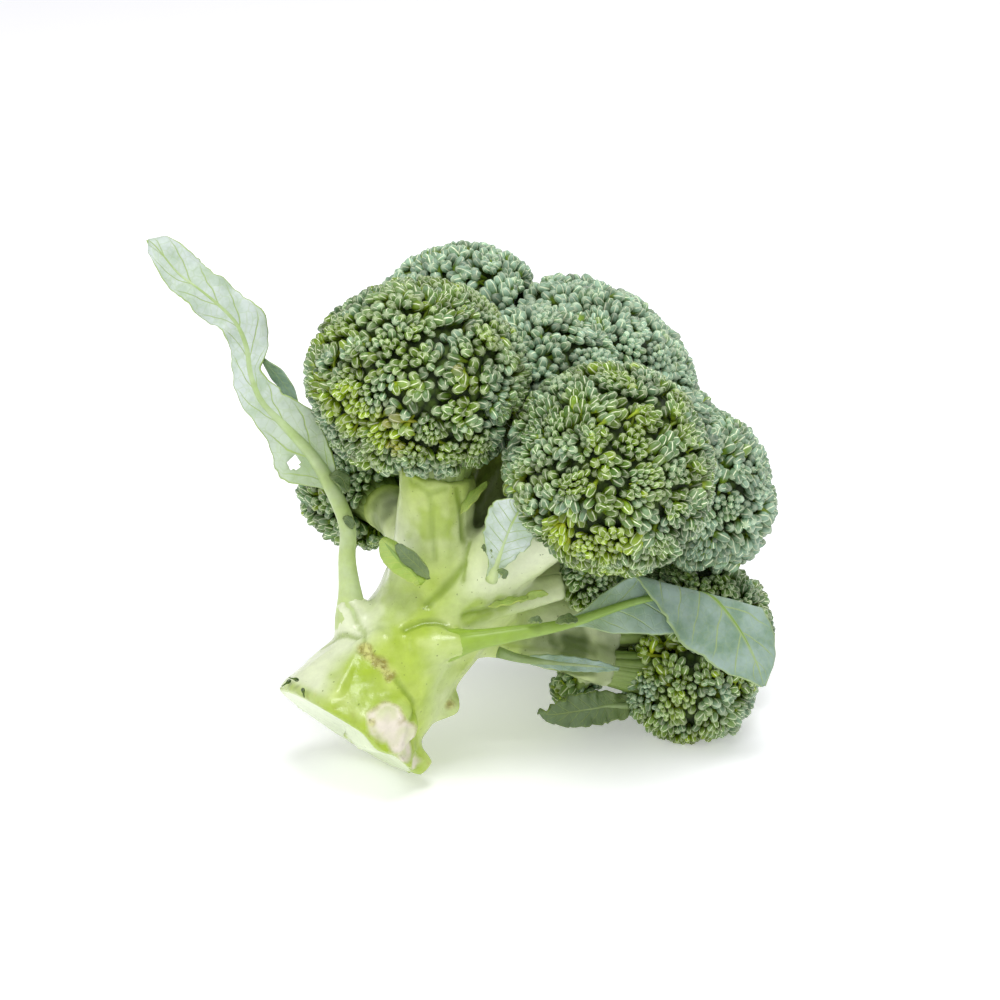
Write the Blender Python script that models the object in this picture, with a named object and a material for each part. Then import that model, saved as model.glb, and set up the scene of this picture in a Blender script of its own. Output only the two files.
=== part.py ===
"""A broccoli head at rest on its side, in metres, with +Z up and the floor at z = 0.

The plant is modelled upright in its own frame, in millimetres: the cut end of the stalk is
centred on the origin and the stalk grows along +Z. An empty then lays the whole plant down,
so that it rests on the rim of its cut end and on the florets of its lower side.
"""

import math

import bmesh
import bpy
import numpy as np
from mathutils import Matrix, Vector, noise

MM = 0.001

# How the upright plant is laid down: it leans over, heads for the back right, and is
# rolled about its own stalk until the low side of the crown meets the floor.
LEAN = math.radians(44.4)
HEADING = math.radians(41.7)
ROLL = math.radians(-44.2)

# Driving dimensions, in millimetres.
CUT_RADIUS = 20.5
RIM_PRESS = 0.9
FORK = Vector((0, 0, 28))
FLORET_GAP = 0.5
BRANCH_GAP = 0.6
LUMP_HEIGHT = 0.05
LUMPS_PER_RADIUS = 2.2

# The stalk's outline: height, sideways shift of its centre, and radius.
TRUNK = (
    (0.0, -1.5, CUT_RADIUS),
    (3.0, -1.8, 19.8),
    (8.0, -2.2, 17.8),
    (16.0, -0.8, 16.8),
    (25.0, 0.0, 15.6),
    (33.0, 1.0, 15.6),
    (40.0, 1.5, 16.4),
    (48.0, 2.5, 17.6),
    (54.0, 3.0, 12.0),
)
TRUNK_SIDES = 28

# Every floret: centre, radius, height as a share of its width, faces along a side of its
# cube, the radii of its branch at root and tip, and how far its underside is from the fork.
FLORETS = {
    "floret_front_left": ((-33, -27, 80.5), 27.5, 0.9, 8, (9.5, 10), 48),
    "floret_front_right": ((18.7, -35.5, 85.3), 26, 0.97, 8, (9.5, 9.5), 51),
    "floret_crown_top": ((2.6, 14, 112.7), 31.2, 0.78, 8, (12, 13.5), 68),
    "floret_top_left": ((-32.5, 17, 109), 23.5, 0.9, 7, (7, 8.5), 68),
    "floret_right": ((41.6, 8, 103.6), 22.5, 0.85, 7, (8, 9), 68),
    "floret_lower_right": ((62.5, 25.5, 75.5), 18.5, 1.1, 6, (6, 7), 58),
    "floret_bottom_front": ((67, 21.2, 62.5), 18, 1.0, 7, (5.4, 6), 56),
    "floret_left_back": ((-33, 24.3, 59.8), 16.8, 0.98, 7, (5.5, 6.5), 28),
    "floret_back_top": ((32, 46, 100), 27.5, 0.85, 7, (9, 10), 68),
    "floret_back": ((0, 56, 90), 24.5, 0.9, 7, (8, 9), 68),
    "floret_back_left": ((-25, 48, 98), 22, 0.9, 6, (5.5, 7), 68),
    "floret_low_back": ((43.5, 57, 74), 20.5, 1.0, 6, (6.5, 7.5), 66),
    "floret_low_rear": ((16, 60, 69.5), 17, 1.0, 6, (5.5, 6), 62),
    "floret_middle": ((-6, -10.5, 97), 23, 1.0, 7, (6, 7), 68),
    "floret_inner_right": ((26, -3, 101), 21, 1.0, 7, (6, 7), 68),
    "side_shoot_front": ((29, -10.5, 63.6), 7.5, 1, 4, (4.2, 3.6), 31),
    "side_shoot_low": ((43.2, 27, 44.8), 6.3, 1, 4, (2.4, 2.6), 10.5),
}

# Most branches leave the stalk at the fork. Those of the side shoots start elsewhere.
FORKS = {
    "floret_left_back": Vector((-10, -8, 50)),
    "side_shoot_front": Vector((4.5, -11, 37)),
    "side_shoot_low": Vector((44, 13, 50)),
}

# A branch heads for the centre of its floret, save where it is seen to bend aside.
BRANCH_AIMS = {
    "floret_front_left": Vector((-17, -21, 65)),
    "floret_back_left": Vector((-14, 42, 98)),
}

FLORET_GREEN = (0.10, 0.17, 0.07)
STALK_GREEN = (0.52, 0.62, 0.22)
LEAF_GREEN = (0.30, 0.42, 0.30)


def clear_scene():
    """Empties the scene that Blender starts with."""
    for obj in list(bpy.data.objects):
        bpy.data.objects.remove(obj, do_unlink=True)


def plant_material(name, colour, roughness):
    """A plain plant surface."""
    material = bpy.data.materials.new(name)
    material.use_nodes = True
    shader = material.node_tree.nodes["Principled BSDF"]
    shader.inputs["Base Color"].default_value = (*colour, 1)
    shader.inputs["Roughness"].default_value = roughness
    shader.inputs["Metallic"].default_value = 0.0
    return material


def laid_down():
    """The rotation that lays the upright plant on its side."""
    lean = Matrix.Rotation(LEAN, 4, "Y")
    return Matrix.Rotation(HEADING, 4, "Z") @ lean @ Matrix.Rotation(ROLL, 4, "Z")


def up_in_plant():
    """The direction away from the floor, in the plant's frame."""
    return laid_down().to_3x3().transposed() @ Vector((0, 0, 1))


def cut_end_height():
    """Height of the cut end's centre over the floor, in millimetres."""
    return CUT_RADIUS * math.sin(LEAN) - RIM_PRESS


def add_object(name, bm, material, smooth_angle=40):
    """Makes an object in metres from a mesh built in millimetres."""
    bmesh.ops.scale(bm, vec=Vector((MM, MM, MM)), verts=bm.verts)
    bmesh.ops.recalc_face_normals(bm, faces=bm.faces)
    mesh = bpy.data.meshes.new(name)
    bm.to_mesh(mesh)
    bm.free()
    mesh.materials.append(material)
    mesh.shade_smooth()
    mesh.set_sharp_from_angle(angle=math.radians(smooth_angle))
    obj = bpy.data.objects.new(name, mesh)
    bpy.context.scene.collection.objects.link(obj)
    return obj


def loft(rings):
    """A closed body through rings of points, with a flat cap on each end."""
    bm = bmesh.new()
    loops = [[bm.verts.new(point) for point in ring] for ring in rings]
    sides = len(loops[0])
    for low, high in zip(loops, loops[1:]):
        for i in range(sides):
            j = (i + 1) % sides
            bm.faces.new((low[i], low[j], high[j], high[i]))
    bm.faces.new(list(reversed(loops[0])))
    bm.faces.new(loops[-1])
    return bm


def smooth_rows(rows, count):
    """Reads count rows from a smooth Catmull-Rom curve through the given rows."""
    rows = np.array(rows, float)
    padded = np.vstack((2 * rows[0] - rows[1], rows, 2 * rows[-1] - rows[-2]))
    steps = np.linspace(0, len(rows) - 1, count)
    first = np.minimum(steps.astype(int), len(rows) - 2)
    t = (steps - first)[:, None]
    a, b, c, d = (padded[first + i] for i in range(4))
    return 0.5 * (2 * b + (c - a) * t + (2 * a - 5 * b + 4 * c - d) * t**2
                  + (3 * b - a - 3 * c + d) * t**3)


# ---------------------------------------------------------------- stalk and branches


def ring_about(centre, direction, radius, sides):
    """A circle of points about a centre, square to a direction."""
    turn = direction.to_track_quat("Z", "Y")
    angles = (2 * math.pi * i / sides for i in range(sides))
    return [centre + turn @ Vector((math.cos(a), math.sin(a), 0)) * radius for a in angles]


def trunk():
    """The main stalk: a slightly knobbly column that narrows from its cut end."""
    rings = []
    for height, shift, radius in TRUNK:
        ring = []
        for i in range(TRUNK_SIDES):
            angle = 2 * math.pi * i / TRUNK_SIDES
            outward = Vector((math.cos(angle), math.sin(angle), 0))
            knob = noise.noise(outward * 1.3 + Vector((0, 0, height * 0.06)))
            ring.append(Vector((shift, 0, height)) + outward * radius * (1 + 0.05 * knob))
        rings.append(ring)
    return loft(rings)


def branch(name, sides=12):
    """A branch that leaves the fork steeply, bends outwards and widens under its floret."""
    centre, _, _, _, (root_radius, tip_radius), underside = FLORETS[name]
    fork = FORKS.get(name, FORK)
    reach = math.sqrt((underside - BRANCH_GAP) ** 2 - tip_radius**2)
    outward = (BRANCH_AIMS.get(name, Vector(centre)) - fork).normalized()
    steep = Vector((0, 0, 0.4)) if fork == FORK else Vector((0, 0, 0))
    tip = fork + outward * reach
    root = fork - outward * 2 - steep * 8
    knee = fork + (outward * (1 - steep.z) + steep) * reach * 0.45
    rings = []
    for i in range(7):
        t = i / 6
        point = root * (1 - t) ** 2 + knee * 2 * t * (1 - t) + tip * t**2
        heading = (knee - root) * (1 - t) + (tip - knee) * t
        if i == 6:
            heading = outward
        radius = root_radius + (tip_radius - root_radius) * t
        rings.append(ring_about(point, heading, radius, sides))
    return loft(rings)


def stub(start, end, start_radius, end_radius, sides=12):
    """A short straight stump: the foot of a leaf stem, or of one that was cut off."""
    start, end = Vector(start), Vector(end)
    rings = [
        ring_about(start, end - start, start_radius, sides),
        ring_about(end, end - start, end_radius, sides),
    ]
    return loft(rings)


# Feet of leaf stems on the stalk: start inside the stalk, end, and the two radii.
STUBS = {
    "foot_left": ((-6, -2, 14), (-19.1, -5.6, 28.5), 8, 4.0),
    "foot_right": ((1.8, -13.7, 25.2), (12.2, -17.9, 33.6), 5.5, 3.7),
    "foot_cut": ((2, -6, 5.5), (8.5, -19.5, 5.5), 9, 6.5),
    "foot_nub": ((8, 0, 14), (18.5, 1.0, 21.5), 7, 2.6),
    "foot_cross": ((-3, -6, 22), (-6, -16.8, 20), 7, 5.0),
    "foot_rim": ((12, -1, 4), (20.8, -0.6, 2.9), 4.5, 2.6),
}


def helper(obj, group):
    """Turns an object into a helper that only a modifier uses."""
    bpy.context.scene.collection.objects.unlink(obj)
    group.objects.link(obj)
    obj.hide_render = True
    obj.display_type = "WIRE"
    return obj


def floor_block(group):
    """A block whose top is the floor, which presses flat what would reach below it."""
    bm = bmesh.new()
    bmesh.ops.create_cube(bm, size=400)
    bmesh.ops.translate(bm, vec=Vector((0, 0, -200)), verts=bm.verts)
    return helper(add_object("floor_block", bm, None), group)


def build_stalk(pose, material):
    """The stalk with all its branches and leaf feet, as the single piece it grew as."""
    limbs = bpy.data.collections.new("stalk_limbs")
    bpy.context.scene.collection.children.link(limbs)
    for name in FLORETS:
        helper(add_object("branch_to_" + name, branch(name), material), limbs).parent = pose
    for name, shape in STUBS.items():
        helper(add_object(name, stub(*shape), material), limbs).parent = pose
    stalk = add_object("stalk", trunk(), material)
    stalk.parent = pose
    grow = stalk.modifiers.new("branches", "BOOLEAN")
    grow.operation = "UNION"
    grow.operand_type = "COLLECTION"
    grow.collection = limbs
    grow.solver = "EXACT"
    ground = bpy.data.collections.new("ground")
    bpy.context.scene.collection.children.link(ground)
    press = stalk.modifiers.new("pressed_rim", "BOOLEAN")
    press.operation = "DIFFERENCE"
    press.object = floor_block(ground)
    press.solver = "EXACT"
    return stalk


# ---------------------------------------------------------------- florets


def cube_sphere(faces_per_side):
    """A sphere of radius 1 made from a cube's grid, which has no poles."""
    bm = bmesh.new()
    bmesh.ops.create_cube(bm, size=2)
    bmesh.ops.subdivide_edges(bm, edges=bm.edges, cuts=faces_per_side - 1, use_grid_fill=True)
    for vert in bm.verts:
        vert.co = Vector(math.tan(c * math.pi / 4) for c in vert.co).normalized()
    return bm


def neighbour_walls(name):
    """Where this floret presses against each neighbour: (direction, distance) of each wall."""
    centre, radius = Vector(FLORETS[name][0]), FLORETS[name][1]
    walls = []
    for other, (place, other_radius, *_) in FLORETS.items():
        offset = Vector(place) - centre
        apart = offset.length
        if other == name or apart > (radius + other_radius) * (1 + LUMP_HEIGHT):
            continue
        middle = (apart**2 + radius**2 - other_radius**2) / (2 * apart)
        walls.append((offset / apart, middle - FLORET_GAP / 2))
    return walls


def dome_reach(direction, centre, radius, flatness, outward):
    """Distance to the free surface of a floret: a lumpy dome, flattened along its branch."""
    along = direction.dot(outward)
    squeeze = math.sqrt(1 - along**2 + (along / flatness) ** 2)
    lump = noise.noise(centre * 0.37 + direction * LUMPS_PER_RADIUS)
    return radius / squeeze * (1 + LUMP_HEIGHT * lump)


def floret_reach(direction, name, walls):
    """Distance from a floret's centre to its surface in one direction."""
    centre, radius, flatness, _, _, underside = FLORETS[name]
    centre = Vector(centre)
    from_fork = centre - FORKS.get(name, FORK)
    reach = dome_reach(direction, centre, radius, flatness, from_fork.normalized())
    for wall, distance in walls:
        along = direction.dot(wall)
        if along > 0:
            reach = min(reach, distance / along)
    along = direction.dot(from_fork)
    inside = along**2 - from_fork.length_squared + underside**2
    if along < 0 and inside > 0:
        reach = min(reach, -along - math.sqrt(inside))
    down = -direction.dot(up_in_plant())
    if down > 0:
        reach = min(reach, (cut_end_height() + centre.dot(up_in_plant())) / down)
    return reach


def build_floret(name, pose, material):
    """One floret: a lumpy dome of buds, flat where it presses on others or on the floor."""
    walls = neighbour_walls(name)
    bm = cube_sphere(FLORETS[name][3])
    for vert in bm.verts:
        direction = vert.co.copy()
        vert.co = Vector(FLORETS[name][0]) + direction * floret_reach(direction, name, walls)
    floret = add_object(name, bm, material)
    floret.parent = pose
    return floret


# ---------------------------------------------------------------- leaves

# Each leaf: the direction that its face looks in, and its stations from foot to tip, each
# with a centre, half width, half thickness and roll in degrees.
LEAVES = {
    "leaf_long_left": ((0, -0.98, -0.19), (
        ((-19.4, -5.7, 29), 3.8, 3.4, 0),
        ((-24.6, -7, 36), 3.6, 3.2, 0),
        ((-29.2, -9.4, 43.1), 3.4, 3.0, 0),
        ((-38.2, -8.6, 49.2), 3.6, 2.6, 0),
        ((-47.4, -8.0, 51.6), 7.2, 1.5, 4),
        ((-55.8, -9.0, 55.2), 6.6, 1.3, 8),
        ((-63.7, -10.2, 58.1), 4.6, 1.2, 12),
        ((-70.3, -11.1, 62.8), 4.2, 1.1, 6),
        ((-76, -12.1, 68.8), 6.6, 1.0, 0),
        ((-82, -13.7, 71.5), 6.4, 0.9, -6),
        ((-92.9, -14.1, 73.1), 5.0, 0.8, -10),
        ((-101, -13.2, 74.9), 3.6, 0.7, -12),
        ((-110.1, -12.8, 77.1), 1.4, 0.5, -12),
    )),
    "leaf_small_pale": ((0.1, -0.97, 0.0), (
        ((8.0, -27.0, 49.8), 1.6, 1.1, 0),
        ((6.4, -29.2, 52.3), 3.0, 0.9, 0),
        ((4.8, -32.0, 55.8), 4.2, 0.8, 0),
        ((4.0, -34.8, 59.0), 4.4, 0.7, 0),
        ((3.7, -36.3, 60.4), 3.2, 0.7, 0),
        ((3.3, -37.6, 61.6), 1.0, 0.5, 0),
    )),
    "leaf_curled_stub": ((-0.3, -0.8, 0.5), (
        ((-5.5, -20.5, 39.6), 2.4, 1.0, 0),
        ((-9, -22.1, 40.2), 3.6, 0.9, 15),
        ((-13.5, -22.2, 41), 3.4, 0.8, 40),
        ((-17.2, -21.4, 42.3), 2.6, 0.7, 50),
        ((-19.7, -20.6, 43.2), 1.6, 0.6, 60),
    )),
    "leaf_narrow_low": ((0.1, -0.95, -0.3), (
        ((20.0, -3.0, 37.2), 1.6, 1.1, 0),
        ((25.8, -2.2, 39.0), 1.6, 1.0, 0),
        ((34.0, -1.4, 43.0), 1.5, 0.9, 0),
        ((42.6, -0.6, 47.6), 1.3, 0.8, 0),
        ((48.6, 0.2, 50.6), 0.9, 0.6, 0),
    )),
    "leaf_low_tip": ((0.1, -0.97, -0.2), (
        ((52.3, 17.5, 43.5), 2.2, 1.1, 0),
        ((49.5, 17.5, 41), 4.0, 0.9, 0),
        ((45.5, 17, 37.5), 4.6, 0.8, 0),
        ((41.3, 16, 34), 3.6, 0.7, 0),
        ((38, 15, 32), 1.4, 0.6, 0),
    )),
    "leaf_behind_left": ((-0.1, -0.97, 0.0), (
        ((-24.5, -2, 63.5), 1.6, 1.0, 0),
        ((-27.5, -2, 64.5), 3.0, 0.9, 0),
        ((-32.5, -2, 65.5), 3.6, 0.8, 0),
        ((-37.2, -1, 66), 3.0, 0.7, 0),
        ((-41.2, -0.8, 66.8), 1.4, 0.6, 0),
    )),
}
LEAF_SECTIONS = 13
LEAF_SIDES = 12


def leaf_rings(facing, stations, place=lambda point: point):
    """Flat oval sections along a leaf. place can bend the finished sections."""
    rows = smooth_rows([(*c, half, thick, roll) for c, half, thick, roll in stations],
                       LEAF_SECTIONS)
    centres = rows[:, :3]
    headings = np.gradient(centres, axis=0)
    rings = []
    for centre, heading, (half, thick, roll) in zip(centres, headings, rows[:, 3:]):
        along = Vector(heading).normalized()
        normal = Matrix.Rotation(math.radians(roll), 3, along) @ Vector(facing)
        across = along.cross(normal).normalized()
        normal = across.cross(along)
        ring = []
        for i in range(LEAF_SIDES):
            angle = 2 * math.pi * i / LEAF_SIDES
            side, face = math.cos(angle), math.sin(angle)
            point = Vector(centre) + across * half * side + normal * thick * face
            ring.append(place(point))
        rings.append(ring)
    return rings


# The folded leaf is drawn flat, in the plane where it lies against the florets: distance
# along the plane's two axes from the leaf's foot, half width and half thickness.
FOLDED_LEAF = (
    ((1.0, 0.2), 3.4, 3.3),
    ((11.5, 2), 3.2, 3.0),
    ((27, 5.5), 2.8, 2.4),
    ((33, 7.5), 5.2, 1.4),
    ((40.5, 10), 8.4, 1.0),
    ((50, 12.5), 9.8, 0.8),
    ((62, 13.5), 10.2, 0.7),
    ((71, 15.5), 8.8, 0.7),
    ((79, 18), 5.0, 0.6),
    ((83, 19), 1.6, 0.5),
)
FOLDED_FOOT = Vector((12.2, -17.9, 33.6))
FOLDED_RIGHT = Vector((0.85, -0.10, 0.52))
FOLDED_UP = Vector((-0.53, -0.16, 0.83))
FOLD_POINT = Vector((51, 13.5))
FOLD_LINE = Vector((0.94, -0.342))
FOLD_RADIUS = 1.6
FOLD_TURN = math.radians(168)
LEAF_LIFT = -0.0035


def folded(point):
    """Bends a point of the flat leaf over the fold line, then sets it in the plant's frame."""
    across_fold = Vector((-FOLD_LINE.y, FOLD_LINE.x))
    flat = Vector((point.x, point.y)) - FOLD_POINT
    beyond = flat.dot(across_fold)
    height = point.z
    base = Vector((point.x, point.y))
    turned = min(max(beyond / FOLD_RADIUS, 0), FOLD_TURN)
    if turned > 0:
        rest = max(beyond - FOLD_TURN * FOLD_RADIUS, 0)
        lever = FOLD_RADIUS - height
        step = lever * math.sin(turned) + rest * math.cos(turned)
        height = FOLD_RADIUS - lever * math.cos(turned) + rest * math.sin(turned)
        base = base + across_fold * (step - beyond)
    lift = height + LEAF_LIFT * point.x**2
    out = FOLDED_RIGHT.cross(FOLDED_UP)
    return FOLDED_FOOT + FOLDED_RIGHT * base.x + FOLDED_UP * base.y + out * lift


def build_leaves(pose, material):
    """All leaves, each one piece from the foot of its stem to its tip."""
    for name, (facing, stations) in LEAVES.items():
        add_object(name, loft(leaf_rings(facing, stations)), material).parent = pose
    stations = [((*flat, 0), half, thick, 0) for flat, half, thick in FOLDED_LEAF]
    rings = leaf_rings((0, 0, 1), stations, folded)
    add_object("leaf_folded_right", loft(rings), material).parent = pose


def centre_on_floor(pose):
    """Moves the plant so that its bounding box stands on the origin."""
    bpy.context.view_layer.update()
    shown = [obj for obj in bpy.context.scene.objects
             if obj.type == "MESH" and not obj.hide_render]
    graph = bpy.context.evaluated_depsgraph_get()
    corners = []
    for obj in shown:
        ready = obj.evaluated_get(graph)
        corners += [ready.matrix_world @ vert.co for vert in ready.data.vertices]
    low = [min(corner[i] for corner in corners) for i in range(2)]
    high = [max(corner[i] for corner in corners) for i in range(2)]
    pose.location.x -= (low[0] + high[0]) / 2
    pose.location.y -= (low[1] + high[1]) / 2


def main():
    clear_scene()
    pose = bpy.data.objects.new("laid_down", None)
    bpy.context.scene.collection.objects.link(pose)
    pose.rotation_euler = laid_down().to_euler()
    pose.location.z = cut_end_height() * MM
    bpy.context.view_layer.update()
    build_stalk(pose, plant_material("stalk_skin", STALK_GREEN, 0.4))
    buds = plant_material("bud_green", FLORET_GREEN, 0.6)
    for name in FLORETS:
        build_floret(name, pose, buds)
    build_leaves(pose, plant_material("leaf_green", LEAF_GREEN, 0.5))
    centre_on_floor(pose)


main()
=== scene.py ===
# %% [markdown]
# # A fresh broccoli head, lying on its side
# A head of broccoli is a young flower head. A thick pale stalk splits into branches, every
# branch ends in a dome of tight green flower buds, and a few leaves are left round the stalk.
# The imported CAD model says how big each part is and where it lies. This script loads it and
# gives every part the shape and finish that the eye expects, piece by piece.

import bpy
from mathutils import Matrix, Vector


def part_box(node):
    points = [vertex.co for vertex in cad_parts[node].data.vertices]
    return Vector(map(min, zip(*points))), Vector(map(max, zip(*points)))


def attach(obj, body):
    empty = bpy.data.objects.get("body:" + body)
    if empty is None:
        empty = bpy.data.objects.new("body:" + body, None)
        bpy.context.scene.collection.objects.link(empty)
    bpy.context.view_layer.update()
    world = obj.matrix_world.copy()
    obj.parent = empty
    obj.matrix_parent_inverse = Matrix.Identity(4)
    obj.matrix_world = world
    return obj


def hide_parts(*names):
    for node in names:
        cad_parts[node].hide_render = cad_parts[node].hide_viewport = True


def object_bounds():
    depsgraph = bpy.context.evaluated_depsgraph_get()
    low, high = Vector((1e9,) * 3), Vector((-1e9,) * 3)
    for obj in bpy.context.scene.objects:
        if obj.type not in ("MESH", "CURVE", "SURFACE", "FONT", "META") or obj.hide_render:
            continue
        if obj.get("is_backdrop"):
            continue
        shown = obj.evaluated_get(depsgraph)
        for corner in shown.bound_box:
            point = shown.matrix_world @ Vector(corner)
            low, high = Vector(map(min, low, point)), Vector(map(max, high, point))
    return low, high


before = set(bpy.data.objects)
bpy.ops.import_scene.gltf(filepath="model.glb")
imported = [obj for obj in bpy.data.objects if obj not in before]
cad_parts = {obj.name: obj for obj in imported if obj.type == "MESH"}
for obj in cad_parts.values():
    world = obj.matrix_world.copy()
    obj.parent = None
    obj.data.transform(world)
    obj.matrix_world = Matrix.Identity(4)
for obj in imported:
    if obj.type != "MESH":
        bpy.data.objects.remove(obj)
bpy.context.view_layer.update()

# %% Tools that the rest of the lesson uses
import math

import bpy
import numpy as np
from mathutils import Matrix, Vector, noise
from mathutils.bvhtree import BVHTree

MM = 0.001
dice = np.random.default_rng(7)


def put_in_scene(name, data):
    """A new object in the scene from a mesh, a camera or a lamp."""
    thing = bpy.data.objects.new(name, data)
    bpy.context.scene.collection.objects.link(thing)
    return thing

# %% [markdown]
# ## The plant's own frame
# A vegetable that lies on its side is awkward to think about. The plant has its own frame
# instead: millimetres, with the middle of the cut end at the origin and the stalk growing
# along +Z. One turn and one shift lay it down on the table, where the CAD stalk lies.

# %% From the plant's frame to the table and back
LEAN, HEADING, ROLL = (math.radians(angle) for angle in (44.4, 41.7, -44.2))
CUT_END_IN_STALK_BOX = (18.99, 19.18, 13.44)

TURN = np.array(Matrix.Rotation(HEADING, 3, "Z") @ Matrix.Rotation(LEAN, 3, "Y")
                @ Matrix.Rotation(ROLL, 3, "Z"))
CUT_END = np.array(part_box("stalk")[0]) / MM + np.array(CUT_END_IN_STALK_BOX)


def on_table(points):
    """Points or one point of the plant, in mm, to where they lie, in metres."""
    return (np.asarray(points, float) @ TURN.T + CUT_END) * MM


def in_plant(points):
    """Points on the table, in metres, to the plant's own frame, in mm."""
    return (np.asarray(points, float) / MM - CUT_END) @ TURN


print("cut end in mm:", CUT_END.round(2))

# %% [markdown]
# ## The camera
# A long lens from a little above keeps the head's proportions true. The camera looks down by
# twenty degrees at a point inside the crown, and frames the head with air all round it.

# %% Camera
LOOK_DOWN = math.radians(20)
AIM_IN_VIEW = (37.2, 59.2, 13.5)
CAMERA_DISTANCE = 712

view_right = Vector((1, 0, 0))
view_up = Vector((0, math.sin(LOOK_DOWN), math.cos(LOOK_DOWN)))
view_in = Vector((0, math.cos(LOOK_DOWN), -math.sin(LOOK_DOWN)))
aim = Vector(CUT_END) + (view_right * AIM_IN_VIEW[0] + view_up * AIM_IN_VIEW[1]
                         + view_in * AIM_IN_VIEW[2])
camera_data = bpy.data.cameras.new("camera")
camera_data.lens, camera_data.sensor_width = 100, 36
camera_data.clip_start, camera_data.clip_end = 0.05, 20
camera = put_in_scene("camera", camera_data)
camera.location = (aim - view_in * CAMERA_DISTANCE) * MM
camera.rotation_mode = "QUATERNION"
camera.rotation_quaternion = view_in.to_track_quat("-Z", "Y")
bpy.context.scene.camera = camera
print("camera at", [round(c, 3) for c in camera.location])

# %% [markdown]
# ## Working by hand in code
# The operators of Blender act on what is selected, so each helper first selects just its
# own piece. A node of the CAD model is a soup of loose triangles: its copy is joined up
# before it is shaped, and the node itself is never touched.

# %% Helpers for modelling


def pick(piece):
    """Selects one piece and nothing else, and makes it the active one."""
    bpy.ops.object.select_all(action="DESELECT")
    bpy.context.view_layer.objects.active = piece
    piece.select_set(True)


def shape(piece, kind, **settings):
    """Adds a modifier with these settings and applies it."""
    pick(piece)
    modifier = piece.modifiers.new(kind.lower(), kind)
    for setting, value in settings.items():
        setattr(modifier, setting, value)
    bpy.ops.object.modifier_apply(modifier=modifier.name)


def copy_of_node(node, name):
    """A new piece from a CAD node, with its loose triangles joined and no material."""
    piece = put_in_scene(name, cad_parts[node].data.copy())
    pick(piece)
    bpy.ops.object.mode_set(mode="EDIT")
    bpy.ops.mesh.customdata_custom_splitnormals_clear()
    bpy.ops.mesh.select_all(action="SELECT")
    bpy.ops.mesh.remove_doubles(threshold=0.001 * MM)
    bpy.ops.object.mode_set(mode="OBJECT")
    piece.data.materials.clear()
    return piece

# %% A piece's points as rows of numbers


def places_of(piece):
    """All vertices of a piece, in metres, as rows."""
    flat = np.empty(len(piece.data.vertices) * 3)
    piece.data.vertices.foreach_get("co", flat)
    return flat.reshape(-1, 3)


def normals_of(piece):
    """The vertex normals of a piece, as rows."""
    flat = np.empty(len(piece.data.vertices) * 3)
    piece.data.vertices.foreach_get("normal", flat)
    return flat.reshape(-1, 3)


def move_to(piece, places):
    """Puts the vertices of a piece at these rows, in metres."""
    piece.data.vertices.foreach_set("co", np.asarray(places, np.float32).ravel())
    piece.data.update()


def paint(piece, name, values):
    """Stores one number per vertex, which a material can read by its name."""
    layer = piece.data.attributes.new(name, "FLOAT", "POINT")
    layer.data.foreach_set("value", np.asarray(values, np.float32))

# %% Small sums on rows of numbers


def unit(rows):
    """Rows scaled to length one."""
    return rows / np.maximum(np.linalg.norm(rows, axis=-1, keepdims=True), 1e-9)


def ease(values, start, end):
    """0 before start, 1 after end, and smooth between them."""
    t = np.clip((np.asarray(values, float) - start) / (end - start), 0, 1)
    return t * t * (3 - 2 * t)


def read_rows(rows, at):
    """Reads a table of rows at places from 0 to 1 along it, on a smooth curve."""
    rows = np.array(rows, float)
    padded = np.vstack((2 * rows[0] - rows[1], rows, 2 * rows[-1] - rows[-2]))
    steps_along = np.asarray(at) * (len(rows) - 1)
    first = np.minimum(steps_along.astype(int), len(rows) - 2)
    t = (steps_along - first)[:, None]
    a, b, c, d = (padded[first + i] for i in range(4))
    return 0.5 * (2 * b + (c - a) * t + (2 * a - 5 * b + 4 * c - d) * t**2
                  + (3 * b - a - 3 * c + d) * t**3)


def read_numbers(numbers, at):
    """Reads a table of single numbers in the same way."""
    return read_rows([(number,) for number in numbers], at)[:, 0]


def cloud(points, size, seed=0.0):
    """Soft noise from -1 to 1 at each point, with features of about this size."""
    shift = Vector((seed, seed * 1.7, -seed))
    return np.array([noise.noise(Vector(p) / size + shift) for p in points])

# %% [markdown]
# ## Building materials in code
# A material is a graph of nodes. These helpers add a node with its settings in one line and
# wire it up, so that each material below reads like a recipe.

# %% Helpers for materials


def add_node(tree, kind, settings=(), **inputs):
    """One node. Inputs are numbers, colours, or the output socket of another node."""
    node = tree.nodes.new("ShaderNode" + kind)
    for setting, value in dict(settings).items():
        setattr(node, setting, value)
    for name, value in inputs.items():
        socket = node.inputs[int(name[1:])] if name[1:].isdigit() else node.inputs[name]
        if isinstance(value, bpy.types.NodeSocket):
            tree.links.new(value, socket)
        else:
            socket.default_value = value
    return node


def maths(tree, operation, first, second=0.0, clamp=False):
    """The output of one sum on two numbers or sockets."""
    settings = {"operation": operation, "use_clamp": clamp}
    return add_node(tree, "Math", settings, _0=first, _1=second).outputs[0]


def blend_colours(tree, amount, first, second, mode="MIX"):
    """The colour between two colours, by an amount."""
    mix = add_node(tree, "Mix", {"data_type": "RGBA", "blend_type": mode}, _0=amount)
    for place, value in ((6, first), (7, second)):
        if isinstance(value, bpy.types.NodeSocket):
            tree.links.new(value, mix.inputs[place])
        else:
            mix.inputs[place].default_value = value
    return mix.outputs[2]


def steps(tree, value, low, high, clamp=True):
    """A value remapped so that low gives 0 and high gives 1, smoothly."""
    settings = {"interpolation_type": "SMOOTHSTEP", "clamp": clamp}
    return add_node(tree, "MapRange", settings, _0=value, _1=low, _2=high).outputs[0]

# %% Helpers for colours and new materials


def painted(tree, name):
    """The number that paint() stored on the piece."""
    return add_node(tree, "Attribute", {"attribute_name": name}).outputs["Fac"]


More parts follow.
